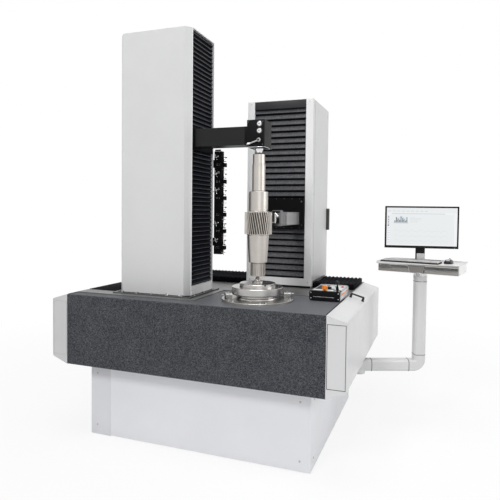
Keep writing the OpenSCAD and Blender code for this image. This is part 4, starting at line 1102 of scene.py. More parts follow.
@dataclass(frozen=True)
class Pedestal:
    """Screws, corner panel, seal, vents and mains inlet of the pedestal."""

    half_x: float = 835.0
    half_y: float = 680.0
    height: float = 540.0
    inset: float = 4.0
    screw_z: tuple[float, float] = (455.0, 75.0)
    screw_r: float = 7.0
    front_screws: tuple[float, float] = (-780.0, 765.0)
    back_screws: tuple[float, float] = (-780.0, 780.0)
    side_screws: tuple[float, float] = (-600.0, 600.0)
    seam_x: float = -666.4
    vent_x: float = 430.0
    vent_z: float = 150.0
    vent_l: float = 240.0
    vent_rows: int = 7
    vent_pitch: float = 26.0

    def build(self) -> None:
        """Adds the pieces."""
        x, y, inset, top = self.half_x, self.half_y, self.inset, self.height
        screws = Shape()
        for face, *spans in ((FACE_FRONT, self.front_screws, (-y,)), (FACE_RIGHT, (x,), self.side_screws),
                             (FACE_LEFT, (-x,), self.side_screws), (FACE_BACK, self.back_screws, (y,))):
            pan_heads(screws, face, self.screw_r, *spans, self.screw_z)
        screws.piece("pedestal_screws", Body.BED, ZINC)
        slab("pedestal_gasket", Body.BED, RUBBER, (inset - x, inset - y, top - 2),
             (x - inset, y - inset, top + 0.5))
        slab("corner_panel", Body.BED, CORNER, (2.6 - x, -y - 0.4, inset),
             (self.seam_x, 2 - y, top - inset), 0.3)
        slab("pedestal_seam", Body.BED, LEFT_GREY, (self.seam_x, -y - 0.2, inset),
             (self.seam_x + 1, 1 - y, top - inset))
        self.back()

    def back(self) -> None:
        """Adds the vents and the mains inlet at the back."""
        y = self.half_y
        vents = Shape()
        along = turn(90, "Z") @ turn(90, "X")
        for row, x in product(range(self.vent_rows), (-self.vent_x, self.vent_x)):
            where = move(x - self.vent_l / 2, y, self.vent_z + row * self.vent_pitch)
            vents.prism([(0, 0), (5, 0), (1.5, 12), (0, 12)], self.vent_l, where @ along, 0.6)
        vents.piece("rear_vents", Body.BED, PANEL)
        inlet = Shape()
        inlet.box((-70, y, 300), (70, y + 12, 400), 3).box((-52, y + 11, 318), (-6, y + 20, 382), 2)
        inlet.lathe([(22, 0), (22, 6), (20, 8), (8, 8), (8, 4), (0, 4)], move(32, y + 11, 350) @ FACE_BACK,
                    32)
        inlet.piece("mains_inlet", Body.BED, BLACK_PLASTIC)


@dataclass(frozen=True)
class BedTrim:
    """Seals, way covers and screws of the bed and its side covers."""

    cover_w: float = 124.0
    screw_r: float = 6.0
    screw_y: tuple[float, ...] = (-560.0, -200.0, 300.0, 600.0)
    screw_z: tuple[float, ...] = (640.0, 960.0)
    door_z: tuple[float, float] = (603.0, 993.0)
    door_seal: float = 3.0
    way_x: float = 941.5
    way_y: tuple[float, float] = (192.0, 615.0)
    way_w: float = 5.0
    way_h: float = 42.0
    flap_x: float = -692.0
    bolt_x: tuple[float, ...] = (-358.0, -228.0, -132.0)
    bolt_r: float = 8.5
    bolt_h: float = 9.0

    def build(self) -> None:
        """Adds the pieces."""
        d = DIM
        seal, flap, ends, screws, bolts = (Shape() for _ in range(5))
        for low, high in ((d.right - 5, d.right - 0.5), (0.5 - d.right, 5 - d.right)):
            seal.box((low, d.front + 12, d.top - 1), (high, d.back - 12, d.top + 3.2), 0.8)
        seal.piece("cover_seals", Body.BED, RUBBER)
        for y0, y1, h in ((-570, 60, 3), (60, 186, 5)):
            flap.box((6 - d.right, y0, d.slab), (self.flap_x, y1, d.slab + h), 1)
        flap.piece("left_way_cover", Body.BED, BELLOWS_BED)
        for x in (-self.way_x, self.way_x):
            ends.box((x - self.way_w / 2, self.way_y[0], d.slab),
                     (x + self.way_w / 2, self.way_y[1], d.slab + self.way_h), 1)
        ends.piece("way_cover_ends", Body.BED, BELLOWS_BED)
        # Painted shadow: a black rim at the tailstock's foot where its shadow line falls on the bed.
        slab("tailstock_foot_seal", Body.BED, RUBBER, (d.tail_x0 - 2, d.tail_y0 - 2, d.tail_z - 1.2),
             (d.tail_x1 + 2, d.tail_y1 - 8, d.tail_z + 2.5), 0.5)
        for face, x in ((FACE_RIGHT, d.right + self.cover_w), (FACE_LEFT, -d.right - self.cover_w)):
            pan_heads(screws, face, self.screw_r, (x,), self.screw_y, self.screw_z)
        screws.piece("cover_screws", Body.BED, COVER)
        self.door_gaskets()
        socket_heads(bolts, UPRIGHT, self.bolt_r, self.bolt_h, self.bolt_x, (d.tail_y0 - 13,),
                     (d.tail_z - 0.4,))
        bolts.piece("tailstock_foot_bolts", Body.BED, CHROME)

    def door_gaskets(self) -> None:
        """Adds the dark seals in the grooves round the covers' end doors."""
        seal = Shape()
        x0, x1, wide = DIM.right + 5, DIM.right + 120, self.door_seal
        z0, z1 = self.door_z
        for side, y in ((1, DIM.front), (1, DIM.back), (-1, DIM.back)):
            near, far = (y + 0.4, y + 2.5) if y < 0 else (y - 2.5, y - 0.4)
            for a, b, low, high in ((x0, x1, z0, z0 + wide), (x0, x1, z1 - wide, z1),
                                    (x0, x0 + wide, z0, z1), (x1 - wide, x1, z0, z1)):
                left, right = sorted((side * a, side * b))
                seal.box((left, near, low), (right, far, high))
        seal.piece("door_gaskets", Body.BED, RUBBER)
        paint_faces(frame["nodes"]["cover_end_doors"], (COVER, LEFT_GREY),
                    lambda centre, _: int(centre.x < 0))


@dataclass(frozen=True)
class RotaryTrim:
    """Marks and small fittings on the rotary table and the clamps on its ring."""

    rim_r: float = 177.0
    marks: int = 72
    long_mark: int = 6
    mark_l: tuple[float, float] = (7.0, 4.0)
    mark_z: float = 1120.0
    band_z: float = 1092.0
    plate_z: float = 1156.0
    plate_circle: float = 88.0
    hub_z: float = 1189.0
    hub_circle: float = 30.0
    ring_z: float = 1061.0
    clamp_angles: tuple[float, float] = (22.0, 217.0)
    clamp_at: tuple[float, float] = (183.0, -25.0)

    def build(self) -> None:
        """Adds the pieces."""
        centre = move(*DIM.axis, 0)
        scale, bolts, clamps = (Shape() for _ in range(3))
        for i in range(self.marks):
            low = self.mark_z - 2 - self.mark_l[i % self.long_mark > 0]
            where = centre @ turn(i * 360 / self.marks, "Z")
            scale.box((self.rim_r - 0.4, -0.35, low), (self.rim_r + 0.25, 0.35, self.mark_z), 0, where)
        scale.piece("table_scale", Body.TABLE, DARK_STEEL)
        for count, first, circle, z, r, h in ((4, 0, self.plate_circle, self.plate_z, 6.5, 7),
                                              (6, 15, self.hub_circle, self.hub_z, 2.6, 3)):
            for i in range(count):
                socket_head(bolts, centre @ turn(i * 360 / count + first, "Z") @ move(circle, 0, z), r, h)
        bolts.piece("faceplate_bolts", Body.TABLE, ZINC)
        r, z = self.rim_r, self.band_z
        turned("table_band", Body.TABLE, DARK_STEEL,
               [(r + 0.2, z), (r + 0.9, z + 1), (r + 0.9, z + 4), (r + 0.2, z + 5)], centre, 128)
        z = self.ring_z
        turned("table_wiper", Body.BED, RING,
               [(141.5, z + 0.2), (147, z + 0.2), (147, z + 6), (144, z + 11), (141.5, z + 12)], centre, 96)
        for angle in self.clamp_angles:
            where = centre @ move(0, 0, self.ring_z) @ turn(angle, "Z") @ move(*self.clamp_at, 0)
            socket_head(clamps, where @ move(22, 25, 40.2), 7.5, 4)
            clamps.box((4, 6, 40), (40, 11, 43), 1, where)
            clamps.tube([where @ Vector(p) for p in ((44, 25, 22), (58, 25, 30), (70, 25, 30))], 3.2, 12)
        clamps.piece("clamp_fittings", Body.BED, ZINC)


@dataclass(frozen=True)
class TailstockTrim:
    """Screws, collars and plates on the tailstock's arm and head, and details of its casing."""

    head_w: float = 128.0
    head_h: float = 180.0
    knob_dx: float = 29.0
    knob_dz: tuple[float, float] = (105.0, 151.0)
    lever_hub_r: float = 14.0
    seam_dz: float = 930.0

    def build(self) -> None:
        """Adds the pieces."""
        self.head()
        self.knobs_and_lever()
        self.arm()
        self.underside()
        self.casing()

    def head(self) -> None:
        """Adds the head's front plate and the screws of head and arm."""
        hx, hy = DIM.axis
        z, x0, x1 = DIM.head_z, hx - self.head_w / 2, hx + self.head_w / 2
        front = hy - 73
        slab("head_front_plate", Body.TAIL, BLACK, (x0 + 3, front - 2.5, z + 3),
             (x1 - 3, front + 0.5, z + self.head_h - 3), 1.2)
        screws = Shape()
        socket_heads(screws, FACE_FRONT, 3.4, 1.8, (x0 + 12, x1 - 12), (front - 2.4,),
                     (z + 14, z + self.head_h - 14))
        socket_heads(screws, UPRIGHT, 3.2, 2, (hx - 70,), (hy - 45, hy, hy + 45), (z + 131,))
        socket_heads(screws, UPRIGHT, 3.6, 2.2, (-40, 60, 160, 260), (hy - 50, hy + 50), (z + 139.5,))
        screws.piece("head_screws", Body.TAIL, DARK_STEEL)

    def knobs_and_lever(self) -> None:
        """Adds the rings and dimples of the two push knobs and the plug in the lever's hub."""
        x, front = DIM.axis[0] + self.knob_dx, DIM.axis[1] - 75.4
        rings = Shape()
        for dz in self.knob_dz:
            rings.lathe(collar(17.5, 20, 2, 3.4, 1.5), move(x, front, DIM.head_z + dz) @ FACE_FRONT, 40)
        rings.piece("button_rings", Body.TAIL, DARK_STEEL)
        for dz, body in zip(self.knob_dz, (Body.DOWN, Body.UP)):
            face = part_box(body.value)[0].y / MM
            turned(body.value + "_dimple", body, DARK_STEEL, [(0, -1), (4.2, -1), (4.2, 0.25), (0, 0.25)],
                   move(x, face, DIM.head_z + dz) @ FACE_FRONT, 24)
        low, high = (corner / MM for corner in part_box("clamp_lever"))
        hub = move(high.x - self.lever_hub_r, low.y, high.z - self.lever_hub_r)
        turned("lever_hub_plug", Body.LEVER, BLACK, [(0, -1), (7.5, -1), (7.5, 0.3), (6.5, 0.8), (0, 0.8)],
               hub @ FACE_FRONT, 24)

    def arm(self) -> None:
        """Adds the dark band at the arm's end and the arm's cover plates."""
        (hx, hy), z = DIM.axis, DIM.head_z
        slab("arm_end_band", Body.TAIL, BLACK, (hx - 84, hy - 61.8, z + 15.2),
             (hx - 66, hy + 61.8, z + 140.8), 2)
        cover = Shape().box((-62, hy - 56, z + 139.5), (hx - 74, hy + 56, z + 141.4), 0.8)
        cover.box((-66, hy - 61.6, z + 22), (-58, hy + 61.6, z + 136), 2)
        cover.piece("arm_cover_plate", Body.TAIL, HEAD)

    def underside(self) -> None:
        """Adds the collar and the bright rim below the head."""
        low, high = (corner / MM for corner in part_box("tailstock_head"))
        place, rim = move(*DIM.axis, DIM.head_z - 5.2), Shape()
        turned("quill_collar", Body.TAIL, DARK_STEEL, collar(33, 44, 3, 5, 3), place, 48)
        for near, far in (((low.x, low.y), (high.x, low.y + 6)), ((low.x, high.y - 6), (high.x, high.y)),
                          ((low.x, low.y), (low.x + 6, high.y)), ((high.x - 6, low.y), (high.x, high.y))):
            rim.box((*near, low.z - 3.0), (*far, low.z + 0.4), 0.6)
        rim.piece("head_base_rim", Body.TAIL, CHROME)

    def casing(self) -> None:
        """Adds the casing's screws and its seams at the back."""
        d = DIM
        screws, seams = Shape(), Shape()
        pan_heads(screws, FACE_BACK, 5, (d.tail_x0 + 70, d.tail_x1 - 70), (d.tail_y1,),
                  (d.tail_z + 60, d.tail_top - 60))
        pan_heads(screws, FACE_RIGHT, 4, (d.tail_x1,), (d.tail_y0 + 50, d.tail_y1 - 50),
                  (d.tail_z + 36, d.tail_top - 14))
        screws.piece("tailstock_casing_screws", Body.BED, ZINC)
        seam = d.tail_z + self.seam_dz
        for x0, x1, z0, z1 in ((d.tail_x0 + 41, d.tail_x1 - 41, seam, seam + 1.6),
                               (-340, -338.4, d.tail_z + 20, d.tail_top - 20)):
            seams.box((x0, d.tail_y1 - 0.5, z0), (x1, d.tail_y1 + 0.4, z1), 0.2)
        seams.piece("tailstock_rear_seams", Body.BED, RUBBER)
        # Painted light: the right-facing faces and the recess wall beside the bellows get the lighter
        # white.
        paint_faces(frame["nodes"]["tailstock_housing"], (WHITE, LIT_WHITE),
                    lambda centre, normal: int(normal.x > 0.9 or (normal.y < -0.9 and centre.x > -100)))


@dataclass(frozen=True)
class ColumnTrim:
    """Details of the measuring column: casing screws, cassette, switch box and rear door."""

    screw_r: float = 4.5
    front_z: float = 1095.0
    side_z: tuple[float, ...] = (1135.0, 1800.0, 2500.0)
    seam_z: float = 1120.0
    rear_seam_z: float = 1840.0
    cassette_in: float = 61.0
    foot_shadow_z: float = 1050.4
    door_z: tuple[float, float] = (1180.0, 1780.0)
    lid_z: tuple[float, float] = (1506.0, 1685.0)
    vent_z: float = 1260.0
    vent_rows: int = 9
    vent_pitch: float = 16.0

    def build(self) -> None:
        """Adds the pieces."""
        x0, x1, y0, y1, top = DIM.column_x0, DIM.column_x1, DIM.column_y0, DIM.column_y1, DIM.column_top
        screws, foot, seams, vents = (Shape() for _ in range(4))
        pan_heads(screws, FACE_FRONT, self.screw_r, (x0 + 30, x1 - 30), (y0,), (self.front_z, top - 18))
        for face, x in ((FACE_RIGHT, x1), (FACE_LEFT, x0)):
            pan_heads(screws, face, self.screw_r, (x,), (y0 + 30, y1 - 30), self.side_z)
            seams.box((x - 0.4, y0 + 58, self.seam_z), (x + 0.4, y0 + 59.5, top - 6))
        screws.piece("column_screws", Body.COLUMN, ZINC)
        seams.box((x0 + 12, y1 - 0.4, self.rear_seam_z), (x1 - 12, y1 + 0.4, self.rear_seam_z + 1.6))
        # Painted shadow: black strips at the casing's foot where a shadow line falls on the table.
        foot.box((x0 + 3, y0 - 1.0, self.foot_shadow_z), (x1 - 3, y0 + 4, 1064.5), 1)
        foot.box((x1 - 4, y0 + 3, self.foot_shadow_z), (x1 + 1, y0 + 40, 1062.0), 1)
        foot.piece("column_foot_seal", Body.COLUMN, RUBBER)
        left, right = x0 + self.cassette_in, x1 - self.cassette_in
        slab("cassette_front", Body.COLUMN, CASSETTE, (left, y0 + 0.5, top - 65), (right, y0 + 6, top - 4),
             1.5)
        slab("cassette_gap", Body.COLUMN, BELLOWS_BED, (left, y0 + 0.4, top - 71),
             (right, y0 + 6, top - 65), 0.8)
        seams.piece("column_seams", Body.COLUMN, RUBBER)
        slab("column_rear_door", Body.COLUMN, WHITE, (x0 + 60, y1, self.door_z[0]),
             (x1 - 60, y1 + 3, self.door_z[1]), 1.2)
        for row in range(self.vent_rows):
            z = self.vent_z + row * self.vent_pitch
            vents.box((x0 + 120, y1 + 2, z), (x1 - 120, y1 + 6, z + 7), 1.6)
        vents.piece("column_rear_vents", Body.COLUMN, FRAME)
        slab("switch_box_lid", Body.COLUMN, SWITCH, (x1 + 22, y1 - 34, self.lid_z[0]),
             (x1 + 24, y1 - 5, self.lid_z[1]), 0.8)

        def column_part(centre: Vector, normal: Vector) -> int:
            """Gives the casing, its front, which gets a lighter white as painted light, and the switch box
            their finishes' numbers.
            """
            return 2 if centre.x > x1 + 1.0 else int(normal.y < -0.9)

        paint_faces(frame["nodes"]["column_housing"], (WHITE, LIT_WHITE, SWITCH), column_part)


@dataclass(frozen=True)
class SlideTrim:
    """Screws and wiper frame of the probe's slide plate, and the ram's and probe head's fittings."""

    ram_x: float = 475.0
    ram_z: float = 1605.5
    plate_x: float = 385.0
    plate_front: float = 122.0
    plate_screws: float = 143.0
    rim_screws: tuple[float, ...] = (255.0, 320.0, 385.0, 450.0, 515.0)
    ram_w: float = 80.8
    ram_h: float = 98.8
    wiper: float = 14.0
    ram_front: float = -366.0
    cap_y: tuple[float, float] = (-330.0, -222.0)
    face_x: float = 469.0
    face_y: float = -390.0

    def build(self) -> None:
        """Adds the pieces."""
        self.plate()
        self.ram()
        self.probe()

    def plate(self) -> None:
        """Adds the plate's screws, its lips and the wiper round the ram."""
        x, y, z0, high = self.plate_x, self.plate_front, DIM.plate_z0, DIM.plate_h
        heads, wiper, lip = (Shape() for _ in range(3))
        socket_heads(heads, FACE_FRONT, 7.4, 6, (x - self.plate_screws, x + self.plate_screws), (y + 8.2,),
                     (z0 + 0.12 * high, z0 + 0.88 * high))
        pan_heads(heads, FACE_FRONT, 3.2, self.rim_screws, (y,), (z0 + 8, z0 + high - 8))
        heads.piece("slide_screws", Body.SLIDE, DARK_STEEL)
        w, h, rim = self.ram_w / 2, self.ram_h / 2, self.wiper
        for left, low, right, high_ in ((-w - rim, -h - rim, w + rim, -h), (-w - rim, h, w + rim, h + rim),
                                        (-w - rim, -h, -w, h), (w, -h, w + rim, h)):
            wiper.box((self.ram_x + left, y - 8, self.ram_z + low),
                      (self.ram_x + right, y, self.ram_z + high_), 1)
        wiper.piece("ram_wiper", Body.SLIDE, BLACK)
        for z in (z0, z0 + high - 6):
            lip.box((120, 139, z), (550, 146.5, z + 6), 1.5)
        lip.piece("slide_lips", Body.SLIDE, BLACK)

    def ram(self) -> None:
        """Adds the ram's end cap and its screws."""
        x, z = self.ram_x, self.ram_z
        cap, heads = Shape(), Shape()
        front, (middle, rear) = self.ram_front, self.cap_y
        cap.box((x - 43, front, z - 52), (x + 43, middle, z + 52), 4)
        cap.box((x - 41, middle, z - 50), (x + 41, rear, z + 50), 3)
        cap.piece("ram_end_cap", Body.RAM, DARK_STEEL)
        socket_heads(heads, FACE_FRONT, 4, 3, (x - 33, x + 33), (front + 0.4,), (z - 42, z + 42))
        for face, side in ((FACE_RIGHT, x + 40.6), (FACE_LEFT, x - 40.6)):
            socket_heads(heads, face, 4, 2, (side,), (-320, -240), (z - 30, z + 30))
        heads.piece("ram_screws", Body.RAM, ZINC)

    def probe(self) -> None:
        """Adds the leaning module of the probe head, its dark bands and the stylus ball."""
        lean = move(493, -411, 1640) @ Vector((25, -13, -24)).to_track_quat("Z", "Y").to_matrix().to_4x4()
        probe, dark = Shape(), Shape()
        probe.lathe([(11, -2), (11, 4), (9, 5), (9, 8), (11, 9), (11, 19), (9, 20), (9, 23), (10.5, 24),
                     (10.5, 30), (8, 32), (0, 32)], lean, 40)
        probe.lathe([(9, -3), (9, 4), (7, 5), (0, 5)], move(492, -415, 1592) @ FACE_FRONT, 32)
        for z, r in ((1630, 11), (1604, 15), (1582, 8)):
            probe.lathe([(r, -2), (r, 2), (r - 3, 3), (r - 3, 9), (r - 1, 10), (r - 1, 15), (r - 5, 17),
                         (0, 17)], move(self.face_x, self.face_y, z) @ FACE_LEFT, 36)
        probe.piece("probe_module", Body.RAM, CHROME)
        dark.box((476, -419, 1648), (526, -414, 1660), 2).box((500, -418, 1574), (524, -414, 1612), 2)
        for z in (6.5, 21.5):
            dark.lathe([(9.0, z - 1.9), (9.3, z - 1.8), (9.3, z + 1.8), (9.0, z + 1.9)], lean, 40)
        dark.lathe([(5.5, 31), (5.5, 33), (4.5, 33.6), (0, 33.6)], lean, 24)
        dark.lathe([(8, -1), (8, 3), (6, 4), (0, 4)],
                   move(self.face_x - 17, self.face_y, 1604) @ FACE_LEFT, 24)
        dark.box((474, -400, 1664), (528, -380, 1668), 1.5).piece("probe_face", Body.RAM, BLACK)
        turned("stylus_ball", Body.RAM, RUBY,
               [(0, -3.2), (1.6, -2.8), (2.7, -1.7), (3.1, 0), (2.7, 1.7), (1.6, 2.8), (0, 3.2)],
               move(477.9, -434.1, 1581.2), 24)


@dataclass(frozen=True)
class RackTrim:
    """Spare styli, magnets and clips on the stylus rack."""

    stations: int = 6
    pitch: float = 127.0
    first_z: float = 1389.0
    back_y: float = -204.0
    holder: tuple[float, float] = (-3.0, -184.0)
    empty: int = 2

    def star(self, shape: Shape, z: float, size: float) -> None:
        """Adds a star stylus and its extension, kept on the rack's front.

        Args:
            shape: The shape it goes in.
            z: The height of its hub.
            size: Its scale.
        """
        hub = Vector((-57.0, -216.0, z))
        far = hub + Vector((21, 2, 15)) * size
        for centre, half in ((hub, Vector((7, 7, 7)) * size), (far, Vector((5, 5, 6)) * size)):
            shape.box(tuple(centre - half), tuple(centre + half), 1.0)
        for angle in (math.radians(a) for a in (20, 110, 200, 290)):
            way = Vector((math.cos(angle), 0.0, math.sin(angle)))
            shape.tube([hub + way * 6 * size, hub + way * 22 * size], 2.2 * size, 10)
            shape.lathe([(0, -3.6), (2.6, -2.6), (3.6, 0), (2.6, 2.6), (0, 3.6)],
                        move(*(hub + way * 24 * size)), 14)
        shape.tube([hub, far], 3.0 * size, 10)
        shape.lathe([(5, 0), (5, 14), (3.4, 16), (0, 16)],
                    move(*(hub + Vector((0, 7, 0)) * size)) @ FACE_BACK, 20)

    def build(self) -> None:
        """Adds the pieces."""
        rods, tips, heads, clips, stars = (Shape() for _ in range(5))
        (x, y), back = self.holder, self.back_y
        for i in range(self.stations):
            z = self.first_z + i * self.pitch
            clips.lathe([(14.5, 0), (14.5, 4), (13, 5.5), (8, 5.5), (8, 0), (14.5, 0)], move(x, y, z + 8),
                        32)
            heads.lathe([(6.5, 24), (10, 26), (10, 34), (8, 37), (8, 44), (5, 46), (0, 46)], move(x, y, z),
                        32)
            odd, even = ((1, -0.2), (-0.35, -1), (0.3, 1)), ((0.9, -0.5), (-0.8, -0.6), (0.0, 1.0))
            for dx, dy in odd if i % 2 else even:
                root = Vector((x, y, z - 52))
                end = root + Vector((dx, dy, 0)).normalized() * 19
                rods.tube([root, end], 1.3, 10)
                tips.lathe([(0, -2.6), (1.8, -1.9), (2.6, 0), (1.8, 1.9), (0, 2.6)], move(*end), 16)
            heads.lathe([(0, -58), (4.5, -57), (4.5, -46), (3, -44), (1.6, -43), (1.6, -30)], move(x, y, z),
                        24)
            clips.box((-76, back - 3, z + 20), (-18, back + 0.5, z + 62), 1.5)
            for low in (z - 18, z + 90):
                clips.box((-72, back - 2, low), (-22, back + 1, low + 12), 1)
            for low in (z - 20, z - 10):
                stars.box((-58, back - 4, low), (-30, back - 1, low + 2.2), 0.6)
            if i != self.empty:
                self.star(stars, z + 42, 1.0 if i in (3, 4) else 0.75)
        for shape, name, finish in ((stars, "rack_star_styli", CHROME), (rods, "rack_stylus_rods", CERAMIC),
                                    (tips, "rack_stylus_balls", RUBY),
                                    (heads, "rack_stylus_holders", CHROME),
                                    (clips, "rack_clips", BLACK)):
            shape.piece(name, Body.BED, finish)


@dataclass(frozen=True)
class PendantTrim:
    """End caps, key rings, keys and dial of the control pendant."""

    x0: float = 728.0
    x1: float = 943.0
    y0: float = -359.0
    y1: float = -29.0
    top: float = 1114.0
    cap_l: float = 23.5
    stick: tuple[float, float] = (915.5, -315.0)
    dial: tuple[float, float] = (845.0, -232.0)
    stop: tuple[float, float] = (828.0, -314.0)
    buttons: tuple[tuple[float, float], ...] = ((874.5, -148.0), (917.5, -130.0))
    first_key: tuple[float, float] = (752.0, -250.0)
    key_pitch: float = 26.0
    row_y: float = -160.0
    row_pitch: float = 22.0
    lamp_x: tuple[float, ...] = (760.0, 778.0, 796.0)
    lamp_y: float = -120.0

    def build(self) -> None:
        """Adds the pieces."""
        self.case()
        self.controls()

    def case(self) -> None:
        """Adds the case's screws, a bright strip across its front as a painted highlight, side strips,
        stripe and keypad, and paints its end caps.
        """
        x0, x1, y0, y1 = self.x0, self.x1, self.y0, self.y1
        paint_faces(frame["nodes"]["pendant_case"], (GREY_PLASTIC, CAP_BLACK),
                    lambda centre, _: int(not y0 + self.cap_l < centre.y < y1 - self.cap_l))
        screws, side, keypad = (Shape() for _ in range(3))
        for face, y in ((FACE_FRONT, y0), (FACE_BACK, y1)):
            pan_heads(screws, face, 4.5, (x0 + 12, x1 - 12), (y,), (1064, 1102))
        # Painted highlight: a bright steel strip across the black front.
        screws.box((x0 + 30, y0 - 0.5, 1073), (x1 - 40, y0 + 1, 1076), 0.4)
        screws.piece("pendant_screws", Body.BED, ZINC)
        for x in (x0 + 2.5, x1 - 3.5):
            side.box((x, y0 + 25, 1052), (x + 1, y1 - 25, 1104), 0.4)
        side.box((x0 + 12, y0 + 25, 1113.2), (x1 - 10, y1 - 25, 1114.2), 0.4)
        side.piece("pendant_sides", Body.BED, COVER)
        slab("pendant_stripe", Body.BED, ORANGE, (x1 - 2.6, y0 + 60, 1080), (x1 - 2.0, y1 - 40, 1092), 0.1)
        keypad.box((x0 + 16, y0 + 98, 1113.4), (x0 + 88, y1 - 34, 1114.6), 0.4)
        keypad.box((x0 + 94, y0 + 96, 1113.4), (x1 - 60, y0 + 150, 1114.6), 0.4)
        keypad.piece("pendant_keypad", Body.BED, BLACK_PLASTIC)

    def controls(self) -> None:
        """Adds the rings round the buttons and the stick, its boot, the keys, the lamps and the dial."""
        top = self.top
        rings, keys, lamps, dial = (Shape() for _ in range(4))
        turned("stop_base", Body.BED, STOP_YELLOW, collar(8.6, 19, 1.6, 2.6, 2), move(*self.stop, top), 40)
        for x, y in self.buttons:
            rings.lathe(collar(10.5, 13.5, 1.6, 2.4, 1.4), move(x, y, top + 0.2), 32)
        rings.piece("key_rings", Body.BED, ZINC)
        turned("stick_ring", Body.BED, BLACK_PLASTIC, collar(24.5, 31, 2, 3.6, 3), move(*self.stick, top),
               48)
        turned("stick_boot", Body.STICK, RUBBER,
               [(5.2, 46), (7.5, 44), (6.5, 40), (9.5, 37), (8, 33), (11, 30), (9.4, 26), (12, 22),
                (10, 19), (10, 18)],
               move(*self.stick, 1103), 32)
        first_x, first_y = self.first_key
        for column, row in product(range(3), range(3)):
            x, y = first_x + column * self.key_pitch, first_y + row * self.key_pitch
            keys.box((x, y, top), (x + 18, y + 18, top + 3.5), 1.8)
        for column in range(4):
            x, y = first_x + column * self.row_pitch, self.row_y
            keys.box((x, y, top), (x + 16, y + 12, top + 3), 1.6)
        keys.piece("pendant_keys", Body.BED, KEYS)
        for x in self.lamp_x:
            lamps.lathe([(3.4, 0), (3.4, 1.4), (2, 2.4), (0, 2.7)], move(x, self.lamp_y, top), 16)
        lamps.piece("pendant_lamps", Body.BED, GREEN)
        where = move(*self.dial, top)
        dial.lathe([(16, 0), (16, 2), (13, 3.5), (13, 14), (11.5, 16), (0, 16)], where, 40)
        dial.box((-1.2, 4, 15), (1.2, 12, 17), 0.3, where @ turn(35, "Z"))
        dial.piece("feed_dial", Body.BED, BLACK_PLASTIC)


class ScreenPicture(Enum):
    """Colours of the patches of the generic display."""

    PAGE = (0.91, 0.925, 0.94)
    PANE = (0.85, 0.875, 0.885)
    BAR = (0.13, 0.17, 0.21)
    LINE = (0.50, 0.62, 0.70)
    MARK = (0.52, 0.57, 0.62)


